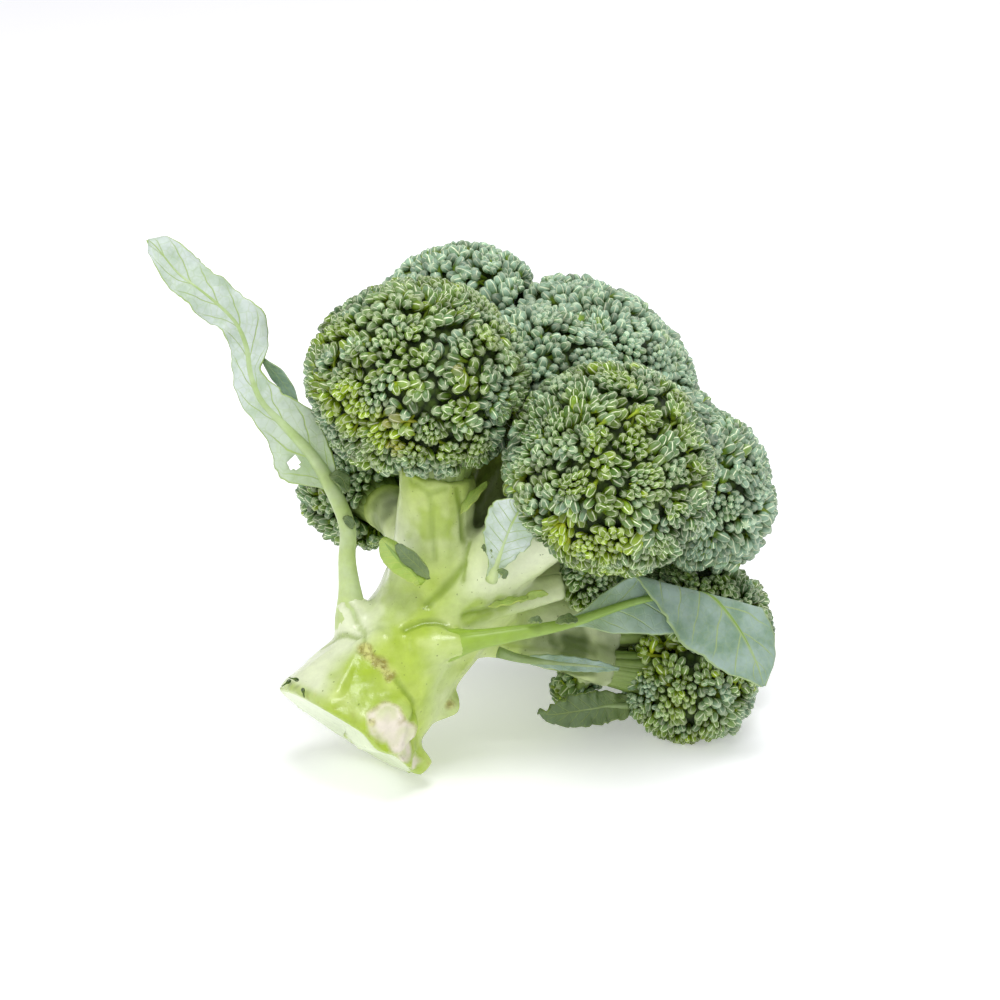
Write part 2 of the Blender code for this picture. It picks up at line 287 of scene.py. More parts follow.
def grain(tree, vector, scale, detail=3.0, roughness=0.55):
    """Soft cloudy noise from 0 to 1."""
    inputs = {"Scale": scale, "Detail": detail, "Roughness": roughness}
    return add_node(tree, "TexNoise", Vector=vector, **inputs).outputs["Fac"]


def colour(red, green, blue):
    """A colour as a screen shows it, 0 to 255, as the linear light that Blender mixes."""
    shares = (np.array((red, green, blue)) / 255.0) ** 2.2
    return (*shares.tolist(), 1.0)


def new_material(name):
    """A material with its tree, its shader, and the piece's own coordinates in metres."""
    material = bpy.data.materials.new(name)
    material.use_nodes = True
    tree = material.node_tree
    shader = tree.nodes["Principled BSDF"]
    where = add_node(tree, "TexCoord")
    return material, tree, shader, where


def dress(tree, shader, skin, relief, roughness, strength, depth):
    """Gives a shader its colour, its roughness, and a bump of this strength and depth in mm."""
    bump = add_node(tree, "Bump", Height=relief, Strength=strength, Distance=depth * MM)
    tree.links.new(bump.outputs[0], shader.inputs["Normal"])
    tree.links.new(skin, shader.inputs["Base Color"])
    if isinstance(roughness, bpy.types.NodeSocket):
        tree.links.new(roughness, shader.inputs["Roughness"])
    else:
        shader.inputs["Roughness"].default_value = roughness

# %% [markdown]
# ## Two effects that all the plant's surfaces share
# Broccoli is waxy. A thin bluish bloom lies over the green and is rubbed off in patches, and
# the skin under it is mottled. Both are made once, as node groups, and each material gives
# them its own strength and size.

# %% Node groups for bloom and mottling


def new_group(name, inputs, outputs):
    """An empty node group with named sockets: (kind, name, starting value) each."""
    group = bpy.data.node_groups.new(name, "ShaderNodeTree")
    for direction, sockets in (("INPUT", inputs), ("OUTPUT", outputs)):
        for kind, label, value in sockets:
            made = group.interface.new_socket(label, in_out=direction, socket_type=kind)
            if value is not None:
                made.default_value = value
    return group, group.nodes.new("NodeGroupInput"), group.nodes.new("NodeGroupOutput")


NUMBER, COLOUR, VECTOR = "NodeSocketFloat", "NodeSocketColor", "NodeSocketVector"

bloom, entry, result = new_group(
    "waxy_bloom",
    ((VECTOR, "Where", None), (COLOUR, "Skin", (0.1, 0.2, 0.05, 1)),
     (COLOUR, "Wax", (0.4, 0.5, 0.4, 1)), (NUMBER, "Amount", 0.5), (NUMBER, "Patch", 60.0)),
    ((COLOUR, "Colour", None), (NUMBER, "Gloss", None)))
patches = grain(bloom, entry.outputs["Where"], entry.outputs["Patch"], 4.0, 0.6)
rubbed = steps(bloom, patches, 0.30, 0.68)
cover = maths(bloom, "MULTIPLY", maths(bloom, "ADD", rubbed, 0.45), entry.outputs["Amount"],
              clamp=True)
bloom.links.new(blend_colours(bloom, cover, entry.outputs["Skin"], entry.outputs["Wax"]),
                result.inputs["Colour"])
bloom.links.new(cover, result.inputs["Gloss"])

mottle, entry, result = new_group(
    "skin_mottling",
    ((VECTOR, "Where", None), (COLOUR, "Skin", (0.1, 0.2, 0.05, 1)), (NUMBER, "Size", 200.0),
     (NUMBER, "Strength", 0.3)),
    ((COLOUR, "Colour", None), (NUMBER, "Height", None)))
fine = grain(mottle, entry.outputs["Where"], entry.outputs["Size"], 5.0, 0.62)
shade = maths(mottle, "ADD",
              maths(mottle, "MULTIPLY", maths(mottle, "SUBTRACT", fine, 0.5),
                    entry.outputs["Strength"]), 1.0)
lit = add_node(mottle, "CombineColor", _0=shade, _1=shade, _2=shade).outputs[0]
mottle.links.new(blend_colours(mottle, 1.0, entry.outputs["Skin"], lit, "MULTIPLY"),
                 result.inputs["Colour"])
mottle.links.new(fine, result.inputs["Height"])


def use_group(tree, group, **inputs):
    """Places a node group in a material, with this material's own values."""
    node = add_node(tree, "Group", {"node_tree": group}, **inputs)
    return node.outputs


print("node groups:", [group.name for group in bpy.data.node_groups])

# %% [markdown]
# ## The buds' material
# Each bud is a closed flower: four grey-green sepals that meet at the tip, where their rims
# are pale; the rims and the tip are painted paler still, as a painted highlight. Its foot and
# stem are yellower, partly their own colour and partly a painted glow of light shining through.
# Its map tells how far up and round the bud a point is, so one material can draw sepals on
# thousands of buds. Numbers painted on each bud say how waxy, how yellow and how light it is,
# with painted shade on buds in the creases between clusters, and whether rust has browned it.

# %% Bud material
bud_skin, tree, shader, where = new_material("bud_skin")
turn_and_height = add_node(tree, "SeparateXYZ", _0=where.outputs["UV"]).outputs
around, height = turn_and_height[0], turn_and_height[1]
tone_and_shade, wax, yellow = (painted(tree, name) for name in ("tone_and_shade", "wax", "yellow"))
rust = painted(tree, "rust")
# Partly the foot's own yellow-green, partly a painted glow of light shining through its base.
foot = blend_colours(tree, yellow, colour(104, 134, 36), colour(196, 208, 56))
body = blend_colours(tree, yellow, colour(65, 99, 33), colour(140, 166, 26))
green = blend_colours(tree, steps(tree, height, 0.18, 0.5), foot, body)
waxed = use_group(tree, bloom, Where=where.outputs["Object"], Skin=green,
                  Wax=colour(146, 176, 150), Amount=wax, Patch=420.0)
tipped = blend_colours(tree, steps(tree, height, 0.3, 0.7), green, waxed["Colour"])
seam_near = maths(tree, "ABSOLUTE", maths(tree, "SUBTRACT", maths(
    tree, "FRACT", maths(tree, "MULTIPLY", around, 4.0)), 0.5))
seam = steps(tree, seam_near, 0.375, 0.47)
seam_here = maths(tree, "MULTIPLY", seam, steps(tree, height, 0.25, 0.55))
tip = maths(tree, "MULTIPLY", steps(tree, height, 0.9, 0.97), 0.5)
pale_rim_and_highlight = maths(tree, "MAXIMUM", seam_here, tip)
# Partly the sepals' own pale rims and tip, partly a painted highlight: they are blended towards
# near white.
rimmed = blend_colours(tree, maths(tree, "MULTIPLY", pale_rim_and_highlight, 0.85), tipped,
                       colour(236, 243, 206))
rimmed = blend_colours(tree, rust, rimmed, colour(150, 124, 38))
speckled = use_group(tree, mottle, Where=where.outputs["Object"], Skin=rimmed, Size=900.0,
                     Strength=0.7)
lighter = add_node(tree, "HueSaturation", Color=speckled["Colour"],
                   Value=maths(tree, "ADD", maths(tree, "MULTIPLY", tone_and_shade, 1.1), 0.54))
relief = maths(tree, "SUBTRACT", maths(tree, "MULTIPLY", speckled["Height"], 0.5), seam_here)
dull = maths(tree, "ADD", maths(tree, "MULTIPLY", waxed["Gloss"], 0.2), 0.3)
dress(tree, shader, lighter.outputs[0], relief, dull, 0.5, 0.12)

# %% [markdown]
# ## Stems and hearts of the florets
# Under the buds each floret is a bundle of thin pale stems in a dark green shade. The stems
# are streaked along their length. The heart behind them is painted a dull, deep green as
# painted shade: the stems there are yellower green, but lie in shadow.

# %% Stem and heart materials
stem_skin, tree, shader, where = new_material("stem_skin")
along = add_node(tree, "SeparateXYZ", _0=where.outputs["UV"]).outputs[1]
# Darker and greener towards the buds: partly the stems' own colour, partly painted shade under
# the buds.
green = blend_colours(tree, steps(tree, along, 0.2, 0.9), colour(138, 160, 86),
                      colour(98, 130, 48))
speckled = use_group(tree, mottle, Where=where.outputs["Object"], Skin=green, Size=500.0,
                     Strength=0.5)
dress(tree, shader, speckled["Colour"], speckled["Height"], 0.42, 0.3, 0.2)

heart_shade_skin, tree, shader, where = new_material("heart_shade_skin")
clumps = add_node(tree, "TexVoronoi", Vector=where.outputs["Object"], Scale=420.0)
# Painted shade: the heart is painted dark green in clumps, where the stems lie in shadow.
green = blend_colours(tree, steps(tree, clumps.outputs["Distance"], 0.1, 0.7),
                      colour(96, 122, 46), colour(44, 60, 24))
dress(tree, shader, green, clumps.outputs["Distance"], 0.7, 0.8, 0.8)

# %% [markdown]
# ## One bud, modelled once
# A bud is a small egg on a stem. It starts as a sphere with few faces, because thousands
# are needed. The lower half is drawn in, the stem is extruded from its foot, and the lines
# where the four sepals meet are pulled towards the axis, which leaves four soft lobes.

# %% The bud to copy
BUD_SIDES, BUD_RINGS = 8, 6


def select_vertices(piece, chosen):
    """In edit mode, selects the vertices whose place passes a test."""
    bpy.ops.object.mode_set(mode="OBJECT")
    for part in (piece.data.polygons, piece.data.edges):
        part.foreach_set("select", np.zeros(len(part), bool))
    for vertex in piece.data.vertices:
        vertex.select = chosen(vertex.co)
    bpy.ops.object.mode_set(mode="EDIT")


def make_bud():
    """A bud one high and about one wide, with its tip at the origin and its stem below."""
    bpy.ops.object.select_all(action="DESELECT")
    bpy.ops.mesh.primitive_uv_sphere_add(segments=BUD_SIDES, ring_count=BUD_RINGS,
                                         radius=0.5, location=(0, 0, -0.5))
    bud = bpy.context.object
    bud.name = "bud_to_copy"
    bpy.ops.object.transform_apply(location=True)
    bpy.ops.object.mode_set(mode="EDIT")
    bpy.ops.mesh.select_mode(type="VERT")
    axis = (0, 0, 0)
    select_vertices(bud, lambda co: co.z < -0.6)
    bpy.ops.transform.resize(value=(0.82, 0.82, 1), center_override=axis)
    select_vertices(bud, lambda co: -0.45 < co.z < -0.01)
    bpy.ops.transform.resize(value=(1.06, 1.06, 1), center_override=axis)
    select_vertices(bud, lambda co: min(abs(co.x), abs(co.y)) < 0.01 and co.z > -0.6)
    bpy.ops.transform.resize(value=(0.86, 0.86, 1), center_override=axis)
    select_vertices(bud, lambda co: co.z > -0.01)
    bpy.ops.transform.translate(value=(0, 0, -0.05))
    select_vertices(bud, lambda co: co.z < -0.9)
    bpy.ops.mesh.extrude_region_move(TRANSFORM_OT_translate={"value": (0, 0, -0.75)})
    bpy.ops.transform.resize(value=(0.6, 0.6, 1), center_override=axis)
    bpy.ops.object.mode_set(mode="OBJECT")
    return bud

# %% The bud's map


def map_bud(mesh):
    """Gives each corner its place round the axis, and its height from stem to tip."""
    layer = mesh.uv_layers[0].data
    for face in mesh.polygons:
        middle = math.atan2(face.center.y, face.center.x)
        for corner in face.loop_indices:
            co = mesh.vertices[mesh.loops[corner].vertex_index].co
            turn = math.atan2(co.y, co.x) if math.hypot(co.x, co.y) > 0.001 else middle
            turn = middle + (turn - middle + math.pi) % (2 * math.pi) - math.pi
            layer[corner].uv = (turn / (2 * math.pi), max(1 + co.z, 0))


bud = make_bud()
map_bud(bud.data)
corner_vertices = np.empty(len(bud.data.loops), np.int32)
bud.data.loops.foreach_get("vertex_index", corner_vertices)
BUD = {
    "places": places_of(bud),
    "corners": corner_vertices,
    "starts": np.array([face.loop_start for face in bud.data.polygons], np.int32),
    "map": np.array([corner.uv[:] for corner in bud.data.uv_layers[0].data]),
}
print("bud:", len(BUD["places"]), "vertices,", len(BUD["starts"]), "faces")
bpy.data.objects.remove(bud)

# %% Many copies of a small shape as one mesh


def copies(pattern, centres, axes, widths, lengths):
    """Copies of a pattern: tips at the centres, stems away from the axes. Rows in metres."""
    count = len(centres)
    side = unit(np.cross(axes, dice.normal(size=(count, 3))))
    frames = np.stack((side, np.cross(axes, side), axes), axis=2)
    sizes = np.stack((widths, widths, lengths), axis=1)
    local = pattern["places"][None] * sizes[:, None, :]
    return centres[:, None, :] + np.einsum("nij,nvj->nvi", frames, local)


def mesh_of_copies(name, pattern, placed):
    """One mesh that holds every placed copy of the pattern, with its map."""
    count, per_copy = placed.shape[:2]
    corners, starts = pattern["corners"], pattern["starts"]
    mesh = bpy.data.meshes.new(name)
    mesh.vertices.add(count * per_copy)
    mesh.vertices.foreach_set("co", placed.astype(np.float32).ravel())
    mesh.loops.add(count * len(corners))
    mesh.polygons.add(count * len(starts))
    offsets = np.arange(count, dtype=np.int32)[:, None]
    mesh.loops.foreach_set("vertex_index", (corners[None] + offsets * per_copy).ravel())
    mesh.polygons.foreach_set("loop_start", (starts[None] + offsets * len(corners)).ravel())
    layer = mesh.uv_layers.new(name="bud_map")
    layer.data.foreach_set("uv", np.tile(pattern["map"].astype(np.float32), (count, 1)).ravel())
    mesh.update(calc_edges=True)
    mesh.shade_smooth()
    return mesh

# %% [markdown]
# ## The florets: where the buds go
# A floret is not an even carpet. Its buds stand in clusters of twenty or so. Each cluster
# fans out from one stem, so between clusters there is a crease, and a bud leans away from the
# middle of its own cluster. The CAD solid gives the outer skin that the tips reach. Where it
# presses against another floret, and on its underside, there are no buds.

# %% What differs from floret to floret
FORK = np.array((0, 0, 28.0))
# Each floret's centre, where its branch starts, how far from there its branch ends, the
# radius of that end, then bud width, wax, yellowness, and how far buds go round its
# underside, as the cosine of the angle to the branch.
FLORETS = {
    "floret_front_left": ((-33, -27, 80.5), FORK, 47, 10, 1.84, 0.34, 0.38, 0.72),
    "floret_front_right": ((18.7, -35.5, 85.3), FORK, 50, 9.5, 1.85, 0.34, 0.42, 0.76),
    "floret_crown_top": ((2.6, 14, 112.7), FORK, 67, 13.5, 2.1, 0.92, 0.08, 0.7),
    "floret_top_left": ((-32.5, 17, 109), FORK, 67, 8.5, 2.05, 0.92, 0.08, 0.62),
    "floret_right": ((41.6, 8, 103.6), FORK, 67, 9, 2.05, 0.75, 0.12, 0.62),
    "floret_lower_right": ((62.5, 25.5, 75.5), FORK, 57, 7, 1.85, 0.42, 0.34, 0.8),
    "floret_bottom_front": ((67, 21.2, 62.5), FORK, 50, 4.8, 1.75, 0.50, 0.52, 0.93),
    "floret_left_back": ((-33, 24.3, 59.8), (-10, -8, 50), 27, 6.5, 1.9, 0.40, 0.26, 0.9),
    "floret_back_top": ((32, 46, 100), FORK, 67, 10, 2.0, 0.7, 0.12, 0.62),
    "floret_back": ((0, 56, 90), FORK, 67, 9, 2.0, 0.65, 0.16, 0.62),
    "floret_back_left": ((-25, 48, 98), FORK, 67, 7, 2.0, 0.65, 0.16, 0.62),
    "floret_low_back": ((43.5, 57, 74), FORK, 65, 7.5, 2.0, 0.5, 0.3, 0.8),
    "floret_low_rear": ((16, 60, 69.5), FORK, 61, 6, 2.0, 0.55, 0.22, 0.8),
    "floret_middle": ((-6, -10.5, 97), FORK, 67, 7, 2.1, 0.8, 0.05, 0.85),
    "floret_inner_right": ((26, -3, 101), FORK, 67, 7, 2.1, 0.8, 0.05, 0.85),
    "side_shoot_front": ((29, -10.5, 63.6), (4.5, -11, 37), 30.5, 3.6, 1.7, 0.45, 0.4, 0.95),
    "side_shoot_low": ((43.2, 27, 44.8), (44, 13, 50), 10, 2.6, 1.8, 0.5, 0.35, 0.95),
}
BRANCH_AIMS = {"floret_front_left": (-17, -21, 65), "floret_back_left": (-14, 42, 98)}
SKIN_GRID = 1.5 * MM


def floret_skin(node):
    """The CAD floret as a fine smooth skin: its points, normals, faces, and a search tree."""
    piece = copy_of_node(node, "skin_" + node)
    shape(piece, "REMESH", mode="VOXEL", voxel_size=SKIN_GRID)
    shape(piece, "SMOOTH", factor=0.5, iterations=3)
    piece.data.calc_loop_triangles()
    faces = np.array([triangle.vertices[:] for triangle in piece.data.loop_triangles])
    skin = {"places": places_of(piece), "normals": normals_of(piece), "faces": faces,
            "piece": piece}
    skin["tree"] = BVHTree.FromPolygons(skin["places"].tolist(), faces.tolist())
    return skin


skins = {node: floret_skin(node) for node in FLORETS}
print("skin vertices:", sum(len(skin["places"]) for skin in skins.values()))

# %% Finding the free part of a skin
WALL_REACH = 2.4 * MM


def sample(skin, count):
    """Points spread at random over a skin, with their normals."""
    corners = skin["places"][skin["faces"]]
    areas = np.linalg.norm(np.cross(corners[:, 1] - corners[:, 0],
                                    corners[:, 2] - corners[:, 0]), axis=1) / 2
    chosen = dice.choice(len(areas), count, p=areas / areas.sum())
    shares = dice.dirichlet((1, 1, 1), count)
    points = np.einsum("nc,nci->ni", shares, corners[chosen])
    normals = np.einsum("nc,nci->ni", shares, skin["normals"][skin["faces"][chosen]])
    return points, unit(normals), areas.sum()


def is_walled(node, point, normal):
    """Whether another floret lies just outside this point."""
    start, heading = Vector(point), Vector(normal)
    return any(skins[other]["tree"].ray_cast(start, heading, WALL_REACH)[0] is not None
               for other in FLORETS if other != node
               and near_each_other[node, other])


def boxes_meet(first, second):
    """Whether the boxes round two CAD nodes meet, or nearly."""
    (low, high), (other_low, other_high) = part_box(first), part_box(second)
    return all(low[i] - WALL_REACH < other_high[i] and other_low[i] - WALL_REACH < high[i]
               for i in range(3))


near_each_other = {(a, b): boxes_meet(a, b) for a in FLORETS for b in FLORETS}


def free_points(node, per_area):
    """Random points on the part of a floret where buds can stand."""
    skin = skins[node]
    area = sample(skin, 1)[2]
    points, normals, _ = sample(skin, int(area * per_area))
    root = on_table(FLORETS[node][1])
    to_root = unit(root - points)
    open_side = (normals * to_root).sum(axis=1) < FLORETS[node][7]
    points, normals = points[open_side], normals[open_side]
    free = np.array([not is_walled(node, p, n) for p, n in zip(points, normals)])
    return points[free], normals[free]

# %% Spreading points evenly


def spread(points, gaps):
    """Keeps points in their random order, each unless it is too near one already kept."""
    kept = []
    places = np.empty_like(points)
    for i, (point, gap) in enumerate(zip(points, gaps)):
        if kept:
            apart = np.linalg.norm(places[:len(kept)] - point, axis=1)
            if (apart < (gap + gaps[kept]) / 2).any():
                continue
        places[len(kept)] = point
        kept.append(i)
    return np.array(kept, int)


ROUNDS, ELBOW_ROOM, NUDGE = 4, 1.12, 0.25


def relax(points, gaps, skin):
    """Pushes crowded points apart and back onto the skin."""
    normals = None
    for _ in range(ROUNDS):
        offsets = points[:, None] - points[None]
        apart = np.linalg.norm(offsets, axis=2) + 1e-9
        wanted = (gaps[:, None] + gaps[None]) / 2 * ELBOW_ROOM
        push = np.clip(wanted - apart, 0, None) * NUDGE
        np.fill_diagonal(push, 0)
        points = points + (offsets / apart[..., None] * push[..., None]).sum(axis=1)
        found = [skin["tree"].find_nearest(Vector(point)) for point in points]
        points = np.array([hit[0][:] for hit in found])
        normals = np.array([hit[1][:] for hit in found])
    return points, normals


def neighbour_gap(points):
    """The mean distance from each point to its four nearest neighbours."""
    apart = np.linalg.norm(points[:, None] - points[None], axis=2)
    return np.sort(apart, axis=1)[:, 1:5].mean(axis=1)

# %% [markdown]
# ## The florets: buds, stems and heart
# With the places known, a floret is three meshes joined into one piece. The buds are copies
# of the one above, their size set by the room they have. Stems run from the end of the branch
# to each cluster. The heart is the skin shrunk under the buds, hollowed from below so that
# the stems show as they do when a head is turned over.

# %% Buds of one floret
CLUSTER_GAP = 7.0 * MM
CLUSTER_ROOT = 8.5 * MM
FAN_ROOT = 5.6 * MM
CREASE_DEPTH = 1.1 * MM
PROUD = 1.3 * MM
UNRULY = 0.34
TRIES_PER_AREA = 5.2e6
CROWDING = 0.86
YELLOW_PATCHES = (  # centre on the plant, radius in mm, strength
    ((-32, -45, 61), 8, 0.85),
    ((-43, -42, 61), 11, 0.8),
    ((-45, -47, 70), 9, 0.4),
    ((-12, -48, 72), 6, 0.45),
    ((18, -48, 62), 9, 1.0),
    ((27, -50, 66), 10, 0.8),
    ((54, 8, 61), 11, 0.9),
    ((67, 5, 50), 10, 0.8),
    ((70, -2, 84), 7, 0.5),
)
RUST_PATCHES = (((-32.5, -50, 64), 4.0, 0.75), ((-29, -44, 59), 3.0, 0.6),
                ((-24, -54, 82), 3.0, 0.5))

# %% Clusters and coloured patches


def cluster_of(points, centres):
    """The nearest cluster of each point, its distance, and how far the next one is."""
    apart = np.linalg.norm(points[:, None] - centres[None], axis=2)
    order = np.argsort(apart, axis=1)
    rows = np.arange(len(points))
    nearest = order[:, 0]
    second = order[:, 1] if len(centres) > 1 else nearest
    return nearest, apart[rows, nearest], apart[rows, second]


def patchy(plant, patches, seed):
    """How strongly soft round patches colour each bud."""
    amount = np.zeros(len(plant))
    for centre, radius, strength in patches:
        near = np.linalg.norm(plant - np.array(centre), axis=1) + 2.5 * cloud(plant, 3.0, seed)
        amount = np.maximum(amount, strength * (1 - ease(near, radius * 0.45, radius)))
    return amount

# %% Where each bud stands, and how it looks


def buds_of(node):
    """Places, directions, sizes and looks of all buds of one floret."""
    width, wax, yellow = FLORETS[node][4:7]
    width *= MM
    skin = skins[node]
    points, normals = free_points(node, TRIES_PER_AREA)
    seeds = spread(points, np.full(len(points), CLUSTER_GAP))
    centres, centre_normals = points[seeds], normals[seeds]
    nearest, inner, _ = cluster_of(points, centres)
    gaps = width * (0.8 + 0.3 * ease(inner, 0, 4.5 * MM) + 0.25 * cloud(points / MM, 7.0, 3.0))
    gaps *= dice.uniform(0.75, 1.3, len(centres))[nearest] * dice.uniform(0.82, 1.2, len(points))
    kept = spread(points, gaps * CROWDING)
    points, normals = relax(points[kept], gaps[kept], skin)
    nearest, inner, outer = cluster_of(points, centres)
    roots = centres - centre_normals * CLUSTER_ROOT
    shaded_crease = 1 - ease(outer - inner, 0, 3.2 * MM)
    fan = unit(points - (centres - centre_normals * FAN_ROOT)[nearest])
    sway = dice.normal(0, UNRULY, (len(centres), 3))[nearest]
    sway += dice.normal(0, UNRULY * 0.8, (len(points), 3))
    lean = unit(fan * 0.8 + normals * 0.2 + sway)
    upright = (lean * normals).sum(axis=1)
    lean = unit(lean + normals * np.clip(0.6 - upright, 0, None)[:, None] * 1.5)
    bulge = dice.normal(0, 0.45, len(centres))[nearest] * MM
    depth = shaded_crease * CREASE_DEPTH + np.abs(dice.normal(0, 0.22 * MM, len(points))) + bulge
    tips = points + normals * (PROUD - np.clip(depth, 0, None))[:, None]
    room = np.clip(neighbour_gap(points), width * 0.6, width * 1.4)
    widths = room * dice.uniform(1.04, 1.28, len(points))
    lengths = widths * dice.uniform(1.45, 1.95, len(points))
    plant = in_plant(points)
    patch = np.maximum(patchy(plant, YELLOW_PATCHES, 9.0),
                       yellow * (0.6 + 1.1 * cloud(plant, 9.0, 5.0))
                       + (dice.random(len(points)) < 0.02) * 0.5)
    looks = {
        # Tone differs at random; buds in the creases between clusters are painted darker as
        # painted shade.
        "tone_and_shade": np.clip(dice.normal(0.55, 0.18, len(points)) - 0.25 * shaded_crease, 0, 1),
        "rust": patchy(plant, RUST_PATCHES, 2.0) * dice.uniform(0.2, 0.9, len(points)),
        "wax": np.clip(wax + 0.45 * cloud(plant, 13.0, 1.0) + dice.normal(0, 0.1, len(points))
                       - 0.55 * patch, 0, 1),
        "yellow": np.clip(patch + dice.normal(0, 0.07, len(points)), 0, 1),
    }
    return tips, lean, widths, lengths, looks, roots

# %% The buds as one piece


def bud_piece(node):
    """The buds of a floret as one object, and the roots of its clusters."""
    tips, lean, widths, lengths, looks, roots = buds_of(node)
    placed = copies(BUD, tips, lean, widths, lengths)
    placed[..., 2] = np.maximum(placed[..., 2], 0.02 * MM)
    name = "buds_" + node.replace("floret_", "")
    piece = put_in_scene(name, mesh_of_copies(name, BUD, placed))
    for label, values in looks.items():
        paint(piece, label, np.repeat(values, placed.shape[1]))
    piece.data.materials.append(bud_skin)
    return piece, roots

# %% Tubes for stems
STEM_SIDES, STEM_RINGS = 7, 8
THICKEST_STEM, STEM_TIP, STEM_INSET = 2.7, 1.0, 2.5


def tube(points, radii, sides):
    """Rings of points about a line, and the quads between them, closed at both ends."""
    points = np.asarray(points, float)
    headings = unit(np.gradient(points, axis=0))
    side = unit(np.cross(headings[0], (0.31, 0.55, 0.77)))
    rings = []
    for point, heading, radius in zip(points, headings, radii):
        side = unit(side - heading * (side @ heading))
        up = np.cross(heading, side)
        turns = np.arange(sides) * 2 * np.pi / sides
        rings.append(point + radius * (np.cos(turns)[:, None] * side
                                       + np.sin(turns)[:, None] * up))
    count = len(points)
    faces = [(r * sides + i, r * sides + (i + 1) % sides,
              (r + 1) * sides + (i + 1) % sides, (r + 1) * sides + i)
             for r in range(count - 1) for i in range(sides)]
    faces.append(tuple(reversed(range(sides))))
    faces.append(tuple(range((count - 1) * sides, count * sides)))
    return np.concatenate(rings), faces


def tubes_piece(name, tubes, sides, material):
    """Several tubes as one object, mapped along their length."""
    vertices, faces, heights = [], [], []
    for points, radii in tubes:
        rings, quads = tube(points, radii, sides)
        faces += [tuple(corner + len(vertices) for corner in face) for face in quads]
        vertices += rings.tolist()
        heights += np.repeat(np.linspace(0, 1, len(points)), sides).tolist()
    mesh = bpy.data.meshes.new(name)
    mesh.from_pydata(vertices, [], faces)
    layer = mesh.uv_layers.new(name="bud_map").data
    for corner, loop in enumerate(mesh.loops):
        index = loop.vertex_index
        layer[corner].uv = ((index % sides) / sides, heights[index])
    mesh.materials.append(material)
    mesh.shade_smooth()
    return put_in_scene(name, mesh)

# %% The stems of one floret


def bend(start, middle, end, count):
    """Points along a soft curve from start to end, drawn towards middle."""
    t = np.linspace(0, 1, count)[:, None]
    return start * (1 - t) ** 2 + middle * 2 * t * (1 - t) + end * t**2


def stems_of(node, roots):
    """One stem from the end of the branch to each cluster of buds."""
    centre, fork, reach, radius = FLORETS[node][:4]
    outward = unit(np.array(BRANCH_AIMS.get(node, centre), float) - fork)
    end = np.array(fork, float) + outward * math.sqrt(reach**2 - radius**2)
    tubes = []
    for target in in_plant(roots):
        aside = (target - end) - outward * ((target - end) @ outward)
        shift = unit(aside) * radius * 0.55 * min(np.linalg.norm(aside) / radius, 1)
        start = end - outward * STEM_INSET + shift
        distance = np.linalg.norm(target - end)
        middle = end + outward * distance * 0.35 + shift * 1.5
        thick = min(0.34 * radius, THICKEST_STEM)
        line = bend(start, middle, target + unit(target - middle) * 3.0, STEM_RINGS)
        tubes.append((on_table(line), np.linspace(thick, STEM_TIP, STEM_RINGS) * MM))
    return tubes

# %% The heart of one floret
HEART_DEPTH = 2.7 * MM
HEART_THICKNESS = 5.0 * MM


def heart_piece(node):
    """The floret's skin, shrunk under its buds and hollowed from below."""
    skin, piece = skins[node], skins[node]["piece"]
    piece.name = "heart_" + node
    root = on_table(FLORETS[node][1])
    places, normals = skin["places"], skin["normals"]
    to_root = unit(root - places)
    under = ease((normals * to_root).sum(axis=1), 0.45, 0.8)
    outward = -to_root
    rise = np.zeros(len(places))
    for i in np.nonzero(under > 0)[0]:
        start = Vector(places[i] + outward[i] * 0.5 * MM)
        hit = skin["tree"].ray_cast(start, Vector(outward[i]))
        if hit[0] is not None:
            rise[i] = max(hit[3] - HEART_DEPTH - HEART_THICKNESS, 0)
    shrunk = places - normals * HEART_DEPTH * (1 - under)[:, None]
    move_to(piece, shrunk + outward * (rise * under)[:, None])
    shape(piece, "SMOOTH", factor=0.5, iterations=6)
    shape(piece, "DECIMATE", ratio=0.35)
    piece.data.materials.append(heart_shade_skin)
    piece.data.shade_smooth()
    return piece

# %% All florets
total = 0
for node in FLORETS:
    piece, roots = bud_piece(node)
    buds = len(piece.data.vertices) // len(BUD["places"])
    stems = tubes_piece("stems_" + node, stems_of(node, roots), STEM_SIDES, stem_skin)
    heart = heart_piece(node)
    pick(piece)
    stems.select_set(True)
    heart.select_set(True)
    bpy.ops.object.join()
    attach(piece, "root")
    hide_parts(node)
    total += len(piece.data.polygons)
    print(node, buds, "buds,", len(roots), "clusters,", len(piece.data.polygons), "faces")
print("faces in all florets:", total)

# %% [markdown]
# ## The stalk's skin
# The stalk is the one part with almost no wax. Its skin is pale yellow-green, brighter green
# where the light grew it, and nearly white where branches pressed together. Its left side is
# painted paler as painted light, and painted shade darkens its creases, its hollow under the
# crown and the branches in shadow. The cut end is wet and pale inside a thin bright rind. Old
# leaf scars are dry, pinkish white or brown.

# %% Stalk material
stalk_skin, tree, shader, where = new_material("stalk_skin")
spot = where.outputs["Object"]
pale, lime, painted_shade, shaded_crease, scar, brown, cut = (painted(tree, name) for name in (
    "pale", "lime", "painted_shade", "shaded_crease", "scar", "brown", "cut"))
cloudy = steps(tree, grain(tree, spot, 90.0, 4.0), 0.35, 0.65)
green = blend_colours(tree, cloudy, colour(168, 194, 60), colour(190, 211, 98))
# Pale where branches pressed together, and painted light: paler still on the lit left side.
green = blend_colours(tree, pale, green, colour(231, 239, 203))
green = blend_colours(tree, lime, green, colour(160, 188, 32))
# Painted shade: dark olive green where the stalk's branches and the hollow under the crown lie in
# shadow.
green = blend_colours(tree, painted_shade, green, colour(84, 104, 42))
